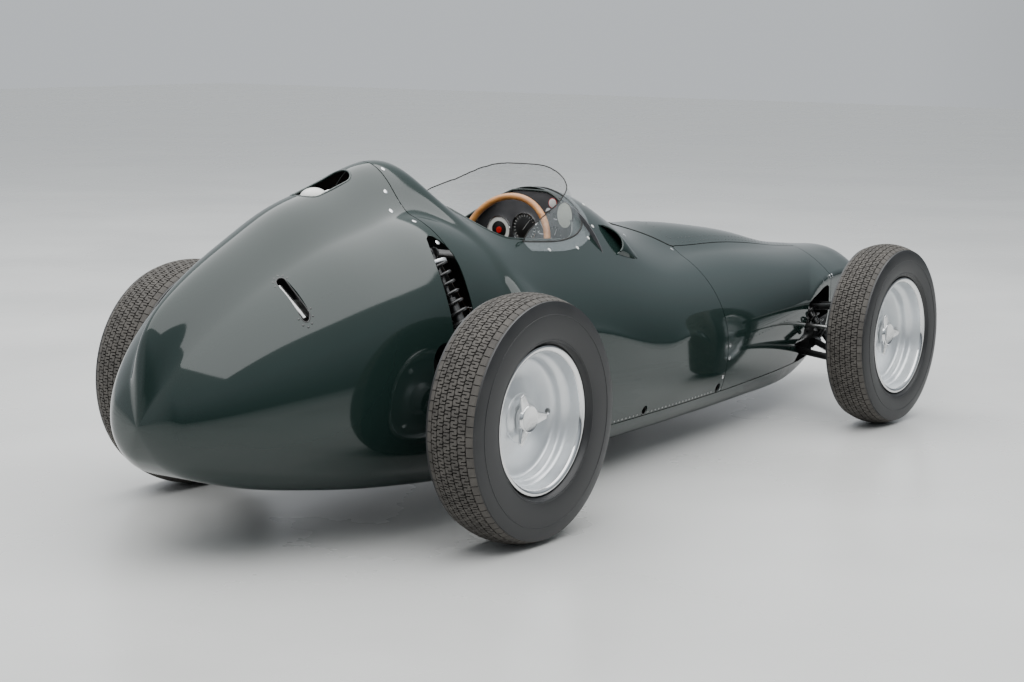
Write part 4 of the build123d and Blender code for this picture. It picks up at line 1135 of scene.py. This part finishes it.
print("steering wheel")
wheel = {
    "aft": -0.800, "z": 0.738, "tilt": 18, "radius": 0.168, "wood": 0.0115,
    "spoke": (0.146, 0.026, 0.003), "spokeMiddle": 0.095, "drillRadius": 0.0075,
    "drills": (-0.042, -0.006, 0.030),
    # half-length and radius of the hub, length and radius of the six-sided nut
    "hub": (0.006, 0.028), "nut": (0.016, 0.013),
}
columnTilt = radians(wheel["tilt"])
wheelSpot = Vector((0, at(wheel["aft"]), wheel["z"]))
towardsDriver = Vector((0, cos(columnTilt), sin(columnTilt)))
wheelUp = Vector((0, -sin(columnTilt), cos(columnTilt)))
bpy.ops.mesh.primitive_torus_add(major_radius=wheel["radius"], minor_radius=wheel["wood"],
                                 major_segments=96, minor_segments=20, location=wheelSpot,
                                 rotation=towardsDriver.to_track_quat("Z", "Y").to_euler())
finishPiece(smooth(settle(bpy.context.object), 60), "steeringRim", "rimWood",
            "steering_wheel", "steering")
sideways = Vector((1, 0, 0))
parts = []
for direction in (sideways, -sideways, -wheelUp):
    spoke = modify(cube(wheel["spoke"]), "BEVEL", width=0.0008, segments=2)
    drills = []
    for distance in wheel["drills"]:
        bpy.ops.mesh.primitive_cylinder_add(vertices=28, radius=wheel["drillRadius"], depth=0.02,
                                            location=(distance, 0, 0))
        drills.append(settle(bpy.context.object))
    cutAway(spoke, drills)
    frameTurn = Matrix((direction, direction.cross(towardsDriver), towardsDriver)).transposed()
    spoke.data.transform(Matrix.Translation(wheelSpot + direction * wheel["spokeMiddle"])
                         @ frameTurn.to_4x4())
    parts.append(spoke)
half, radius = wheel["hub"]
hub = bar(wheelSpot - towardsDriver * half, wheelSpot + towardsDriver * half, radius, 48)
parts.append(modify(hub, "BEVEL", width=0.002, segments=3))
length, radius = wheel["nut"]
nut = bar(wheelSpot, wheelSpot + towardsDriver * length, radius, 6)
parts.append(modify(nut, "BEVEL", width=0.001, segments=2))
finishPiece(smooth(joined(parts), 30), "steeringSpider", "steel", None, "steering")

print("instruments")
dash = {
    "aft": -0.9499,
    # x, z, radius, tick marks, the needle's turn
    "gauges": [(0.020, 0.786, 0.052, 19, -40), (-0.054, 0.793, 0.026, 9, 30),
               (-0.105, 0.773, 0.028, 9, -20)],
    # x, z, inner radius or 0 for a disc, outer radius, back, front, finish
    "parts": [
        (-0.109, 0.833, 0.0105, 0.0145, 0.0, 0.011, "brightMetal"),
        (-0.109, 0.833, 0, 0.0115, 0.0, 0.006, "dialBlack"),
        # the large dial: white band, black middle, red centre
        (0.126, 0.772, 0, 0.047, 0.0, 0.004, "dialBlack"),
        (0.126, 0.772, 0.030, 0.047, 0.003, 0.0068, "whiteEnamel"),
        (0.126, 0.772, 0.0455, 0.0485, 0.0, 0.0100, "brightMetal"),
        (0.126, 0.772, 0, 0.0105, 0.004, 0.0085, "redPlastic"),
        # the red-edged plate, the red button and the switch
        (-0.090, 0.874, 0, 0.0170, 0.0, 0.0018, "redPlastic"),
        (-0.090, 0.874, 0, 0.0150, 0.0018, 0.0024, "whiteEnamel"),
        (-0.090, 0.874, 0.0050, 0.0066, 0.0022, 0.0028, "redPlastic"),
        (-0.073, 0.847, 0.0075, 0.0105, 0.0, 0.005, "brightMetal"),
        (-0.073, 0.847, 0, 0.0085, 0.0, 0.0095, "redPlastic"),
        (0.180, 0.821, 0, 0.0050, 0.0, 0.0095, "brightMetal"),
        (0.180, 0.821, 0, 0.0085, 0.0095, 0.0115, "brightMetal"),
    ],
}


def onDash(x, z, lift=0.0):
    return Vector((x, at(dash["aft"]) + lift, z))


def dashPart(x, z, inner, outer, low, high, finish):
    if inner:
        profile = [(low, inner), (low, outer), ((low + high) / 2, outer + 0.0004),
                   (high, (inner + outer) / 2), (high - 0.0004, inner), (low, inner)]
    else:
        profile = [(low, 0.0), (low, outer), (high - 0.0005, outer), (high, outer - 0.0008),
                   (high, 0.0)]
    return coat(turnedAlongY(profile, onDash(x, z), 64 if inner else 48), finish)


def pointer(spot, turn, first, last, thickness):
    outwards = Vector((sin(turn), 0, cos(turn)))
    return coat(bar(spot + outwards * first, spot + outwards * last, thickness, 6), "whiteEnamel")


dials = []
for x, z, radius, ticks, needleTurn in dash["gauges"]:
    dials += [dashPart(x, z, 0, radius - 0.001, 0.0, 0.006, "dialBlack"),
              dashPart(x, z, radius - 0.0035, radius, 0.0, 0.0105, "brightMetal")]
    for i in range(ticks):
        dials.append(pointer(onDash(x, z, 0.0062), radians(-135 + 270 * i / (ticks - 1)),
                             radius * 0.71, radius * 0.85, 0.0006))
    dials += [pointer(onDash(x, z, 0.0075), radians(needleTurn), -radius * 0.18, radius * 0.66,
                      0.0007),
              dashPart(x, z, 0, radius * 0.1, 0.006, 0.0088, "dialBlack")]
dials += [dashPart(*part) for part in dash["parts"]]
finishPiece(joined(dials), "dashInstruments", None, "instruments")

print("seat")
seat = {"pleats": 9, "puff": 0.010, "edge": 0.016, "cuts": 31, "fill": 0.8,
        "cushion": ((-0.182, at(-0.778), 0.247), (0.182, at(-0.432), 0.304)),
        "back": ((-0.190, -0.030, 0.0), (0.190, 0.030, 0.455)),
        "backSpot": (0, at(-0.452), 0.312), "backLean": -9.5}


def pleatedPad(low, high, faceAxis, faceSign):
    pad = cube([b - a for a, b in zip(low, high)], [(a + b) / 2 for a, b in zip(low, high)])
    activate(modify(pad, "BEVEL", width=seat["edge"], segments=4))
    bpy.ops.object.mode_set(mode="EDIT")
    bpy.ops.mesh.select_all(action="SELECT")
    bpy.ops.mesh.subdivide(number_cuts=seat["cuts"])
    bpy.ops.object.mode_set(mode="OBJECT")
    centre = (low[faceAxis] + high[faceAxis]) / 2
    half = (high[faceAxis] - low[faceAxis]) / 2
    for vertex in pad.data.vertices:
        share = (vertex.co.x - low[0]) / (high[0] - low[0])
        height = (vertex.co[faceAxis] - centre) / half * faceSign
        if height > 0.5:
            fold = abs(sin(pi * seat["pleats"] * share)) ** 0.6
            vertex.co[faceAxis] += faceSign * seat["puff"] * (fold - 1) * (height - 0.5) * 2
    return pad


cushion = pleatedPad(*seat["cushion"], 2, 1)
back = pleatedPad(*seat["back"], 1, -1)
back.data.transform(Matrix.Translation(seat["backSpot"])
                    @ Matrix.Rotation(radians(seat["backLean"]), 4, "X"))
for pad, name, node in ((cushion, "seatCushion", "seat_cushion"), (back, "seatBack", "seat_back")):
    finishPiece(smooth(pad, 60), name, "seatLeather", node)

print("spring units")
springs = {
    # ends are (x, aft, z); coil: its radius, wire, turns, and where it starts and ends
    "rear": {"low": (0.480, -0.030, 0.460), "top": (0.292, -0.030, 0.800),
             "coil": (0.0310, 0.0050, 9.5, 0.17, 0.895)},
    "front": {"low": (0.385, -2.458, 0.232), "top": (0.150, -2.458, 0.515),
              "coil": (0.0248, 0.0046, 7.5, 0.20, 0.80)},
    "collar": 0.026, "bodyEnd": 0.62, "bodyShare": 0.55, "rodShare": 0.28,
    # each clevis: middle, half-thickness and radius of its ears; start, end and radius of its pin
    "ears": (0.013, 0.003, 0.017), "pins": (0.015, 0.024, 0.0075),
}


def springUnit(low, high, coilRadius, wire, turns, coilStart, coilEnd):
    run = high - low
    side = run.orthogonal().normalized()
    other = run.normalized().cross(side)
    count = int(turns * 12)
    helix = []
    for i in range(count + 1):
        turn = 2 * pi * turns * i / count
        share = coilStart + (coilEnd - coilStart) * i / count
        helix.append(low + run * share + coilRadius * (cos(turn) * side + sin(turn) * other))
    parts = [pipe(helix, wire, False, 10),
             bar(low, low + run * springs["bodyEnd"], coilRadius * springs["bodyShare"], 32),
             bar(low + run * 0.6, high, coilRadius * springs["rodShare"], 24)]
    for part in parts:
        coat(part, "blackEnamel")
    for share, finish in ((coilStart - 0.028, "blackEnamel"), (coilEnd + 0.004, "wheelAlloy")):
        collar = bar(low + run * share, low + run * (share + springs["collar"]),
                     coilRadius + wire * 0.7, 40)
        parts.append(coat(modify(collar, "BEVEL", width=0.0015, segments=3), finish))
    return smooth(joined(parts), 40)


for end in ("rear", "front"):
    units = []
    for side in (1, -1):
        low, top = (Vector((side * x, at(aft), z))
                    for x, aft, z in (springs[end]["low"], springs[end]["top"]))
        units.append(springUnit(low, top, *springs[end]["coil"]))
        for hand in (-1, 1) if end == "rear" else ():
            middle, thick, earRadius = springs["ears"]
            first, last, pinRadius = springs["pins"]
            for start, stop, radius, sides in (
                    (hand * middle - thick, hand * middle + thick, earRadius, 28),
                    (hand * first, hand * last, pinRadius, 6)):
                ear = bar(top + Vector((0, start, 0)), top + Vector((0, stop, 0)), radius, sides)
                units.append(coat(ear, "blackEnamel"))
    finishPiece(joined(units), end + "SpringUnits", None, end + "_spring_units")

print("filler")
filler = {"aft": 0.150, "neckAft": 0.120, "neckLow": 0.642, "neckTop": 0.945, "neck": 0.036,
          "cap": 0.0425, "capZ": 0.956, "capFlat": 0.72, "collar": (0.940, 0.955, 0.0445),
          "latch": [(0.024, 0.112, 0.952), (0.024, 0.070, 0.974), (-0.024, 0.070, 0.974),
                    (-0.024, 0.112, 0.952)], "latchWire": 0.0032}
neck = bar((0, at(filler["neckAft"]), filler["neckLow"]), (0, at(filler["aft"]), filler["neckTop"]),
           filler["neck"], 48)
bpy.ops.mesh.primitive_uv_sphere_add(segments=48, ring_count=24, radius=filler["cap"],
                                     location=(0, at(filler["aft"]), filler["capZ"]))
cap = bpy.context.object
cap.scale = (1, 1, filler["capFlat"])
low, high, radius = filler["collar"]
collar = bar((0, at(filler["aft"]), low), (0, at(filler["aft"]), high), radius, 48)
modify(collar, "BEVEL", width=0.003, segments=3)
latch = pipe([(x, at(aft), z) for x, aft, z in filler["latch"]], filler["latchWire"])
parts = [coat(neck, "steel"), coat(settle(cap), "whiteEnamel"), coat(collar, "brightMetal"),
         coat(latch, "brightMetal")]
finishPiece(smooth(joined(parts), 40), "fillerCap", None, "filler_neck")

print("radiator fins, bars, shields and duct")
fins = {"aft": -2.6355, "low": 0.258, "pitch": 0.0064, "count": 34, "size": (0.220, 0.006, 0.0016),
        "tubes": 11, "tubeAft": -2.6350, "tubePitch": 0.020, "tubeRun": (0.256, 0.474),
        "tubeRadius": 0.0022}
parts = [cube(fins["size"], (0, at(fins["aft"]), fins["low"] + i * fins["pitch"]))
         for i in range(fins["count"])]
for i in range(fins["tubes"]):
    x = -0.1 + i * fins["tubePitch"]
    low, high = fins["tubeRun"]
    parts.append(bar((x, at(fins["tubeAft"]), low), (x, at(fins["tubeAft"]), high),
                     fins["tubeRadius"], 8))
finishPiece(smooth(joined(parts), 30), "radiatorFins", "blackEnamel")

slotBars = {"reach": 0.052, "sink": 0.024, "radius": 0.0115}
parts = []
for side in (1, -1):
    ends = [onSkin(tailSlot["aft"], side * distanceAtX(tailSlot["aft"], tailSlot["x"] + reach),
                   -slotBars["sink"]) for reach in (-slotBars["reach"], slotBars["reach"])]
    parts.append(bar(*ends, slotBars["radius"], 24))
finishPiece(smooth(joined(parts), 40), "tailSlotBars", "steel")

# painted shade: two thin black sheets inside the nose, behind the cutouts, stand in for the shade
# there and hide the view through
shadeSheet = {"size": (0.001, 0.520, 0.340), "x": 0.1190, "aft": -2.425, "z": 0.352}
parts = [cube(shadeSheet["size"], (side * shadeSheet["x"], at(shadeSheet["aft"]), shadeSheet["z"]))
         for side in (1, -1)]
finishPiece(joined(parts), "innerShadeSheets", "blackEnamel")

duct = {
    # from the nose's mouth to the radiator: aft, half-width, low and high
    "rings": [(-3.085, 0.112, 0.318, 0.478), (-2.960, 0.120, 0.286, 0.492),
              (-2.800, 0.121, 0.260, 0.496), (-2.641, 0.1215, 0.246, 0.490)],
    "corner": 0.030, "steps": 6, "thick": 0.002,
}
points, faces = [], []
for aft, half, low, high in duct["rings"]:
    outline = roundedOutline((-half, low), (half, high), [duct["corner"]] * 4, duct["steps"])
    points += [(x, at(aft), z) for x, z in outline]
count = len(outline)
for start in range(0, len(points) - count, count):
    for i in range(count):
        a, b = start + i, start + (i + 1) % count
        faces.append((a, b, b + count, a + count))
ductPiece = modify(meshPiece("duct", points, faces), "SOLIDIFY", thickness=duct["thick"], offset=0)
finishPiece(smooth(tidyMesh(ductPiece), 40), "noseDuct", "insideMetal")

print("exhaust clamps and half shafts")
clamp = {"afts": (-1.020, -0.560), "x": 0.482, "z": 0.262, "half": 0.010, "radius": 0.0382,
         "strapZ": 0.285, "strapX": 0.470, "strap": 0.0075}
parts = []
for aft in clamp["afts"]:
    band = bar((clamp["x"], at(aft - clamp["half"]), clamp["z"]),
               (clamp["x"], at(aft + clamp["half"]), clamp["z"]), clamp["radius"], 48)
    parts.append(modify(band, "BEVEL", width=0.0012, segments=2))
    inner = flankAtZ(aft, clamp["strapZ"]) + 0.0005
    parts.append(bar((inner, at(aft), clamp["strapZ"]), (clamp["strapX"], at(aft), clamp["strapZ"]),
                     clamp["strap"], 16))
finishPiece(smooth(joined(parts), 40), "exhaustClamps", "steel")

shaft = {
    "z": 0.358,
    # inner and outer x, radius: the shaft, its flange, and its two joints
    "lengths": [(0.0925, 0.5827, 0.0174), (0.5752, 0.5827, 0.0455),
                (0.1505, 0.2045, 0.0295), (0.3905, 0.4445, 0.0295)],
}
for side, sideName in ((1, "left"), (-1, "right")):
    parts = []
    for inner, outer, radius in shaft["lengths"]:
        length = bar((side * inner, rearAxle, shaft["z"]), (side * outer, rearAxle, shaft["z"]),
                     radius, 48)
        parts.append(modify(length, "BEVEL", width=0.0012, segments=2))
    finishPiece(smooth(joined(parts), 40), "halfShaft" + sideName.title(), "steel",
                "half_shaft_" + sideName, "wheel_rear_" + sideName)

print("finishes of the frame's own nodes")
nodeFinish = {
    "blackEnamel": ("chassis_frame", "jack_sockets", "radiator", "front_wishbones",
                    "de_dion_tube", "knuckle_left", "knuckle_right", "steering_column"),
    "castMetal": ("engine_block", "fuel_tank", "gearbox"), "dashGrey": ("dash_panel",),
    "exhaustSteel": ("exhaust_pipe",), "steel": ("track_rod", "brake_disc"),
}
for finish, nodeNames in nodeFinish.items():
    for nodeName in nodeNames:
        coat(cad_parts[nodeName], finish)

print("floor, light and camera")
stage = {
    "floorHalf": 30, "floorDark": (0.56, 0.56, 0.545), "floorLight": (0.63, 0.63, 0.615),
    "floorRough": (0.22, 0.34), "worldStrength": 1.0,
    # the dim room on the right, and the pale wall on the driver's left, from below to above
    "duskSide": [(0.0, (0.12, 0.13, 0.14)), (0.10, (0.20, 0.22, 0.24)),
                 (0.40, (0.55, 0.60, 0.64)), (1.0, (0.95, 0.99, 1.0))],
    "paleSide": [(0.0, (0.60, 0.63, 0.66)), (0.30, (0.78, 0.81, 0.84)), (1.0, (0.95, 0.99, 1.0))],
    "turn": [(0.05, 0.0), (0.42, 1.0)],
    "lampPlace": (0, 0.5, 7.0), "lampSize": (15.0, 13.0), "lampPower": 1700,
}
bpy.ops.mesh.primitive_plane_add(size=2 * stage["floorHalf"], location=(0, 0, 0))
floor = bpy.context.object
floor.name = "floor"
floorMaterial, tree, shader = newShader("paleFloor", stage["floorLight"], 0.32)
stains = noiseOn(tree, 0.8, 6)
blotch(tree, stains, shader.inputs["Base Color"], stage["floorDark"], stage["floorLight"])
blotch(tree, stains, shader.inputs["Roughness"], *stage["floorRough"])
floor.data.materials.append(floorMaterial)
floor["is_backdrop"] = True

world = bpy.data.worlds.new("softRoom")
bpy.context.scene.world = world
world.use_nodes = True
tree = world.node_tree
background = tree.nodes["Background"]
direction = tree.nodes.new("ShaderNodeTexCoord")
parted = tree.nodes.new("ShaderNodeSeparateXYZ")
blend = tree.nodes.new("ShaderNodeMixRGB")
tree.links.new(direction.outputs["Generated"], parted.inputs["Vector"])
tree.links.new(ramp(tree, parted.outputs["X"], stage["turn"]), blend.inputs["Fac"])
for socket, key in (("Color1", "duskSide"), ("Color2", "paleSide")):
    tree.links.new(ramp(tree, parted.outputs["Z"], stage[key]), blend.inputs[socket])
tree.links.new(blend.outputs["Color"], background.inputs["Color"])
background.inputs["Strength"].default_value = stage["worldStrength"]

lamp = bpy.data.lights.new("overhead", "AREA")
lamp.shape = "RECTANGLE"
lamp.size, lamp.size_y = stage["lampSize"]
lamp.energy = stage["lampPower"]
lampObject = bpy.data.objects.new("overhead", lamp)
bpy.context.collection.objects.link(lampObject)
lampObject.location = stage["lampPlace"]
lampObject.rotation_euler = (-Vector(stage["lampPlace"])).to_track_quat("-Z", "Y").to_euler()

view = {"place": (-3.941, 5.8165, 1.465), "heading": 144.510, "pitch": -8.801, "roll": 0.515,
        "lens": 72.26, "sensor": 36.0}
heading, pitch, roll = (radians(view[key]) for key in ("heading", "pitch", "roll"))
forward = Vector((cos(pitch) * sin(heading), cos(pitch) * cos(heading), sin(pitch)))
level = forward.cross(Vector((0, 0, 1))).normalized()
upright = level.cross(forward)
right = cos(roll) * level + sin(roll) * upright
up = cos(roll) * upright - sin(roll) * level
cameraData = bpy.data.cameras.new("camera")
cameraData.lens = view["lens"]
cameraData.sensor_width = view["sensor"]
camera = bpy.data.objects.new("camera", cameraData)
bpy.context.collection.objects.link(camera)
camera.matrix_world = Matrix.Translation(view["place"]) @ Matrix(
    (right, up, -forward)).transposed().to_4x4()
bpy.context.scene.camera = camera

low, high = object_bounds()
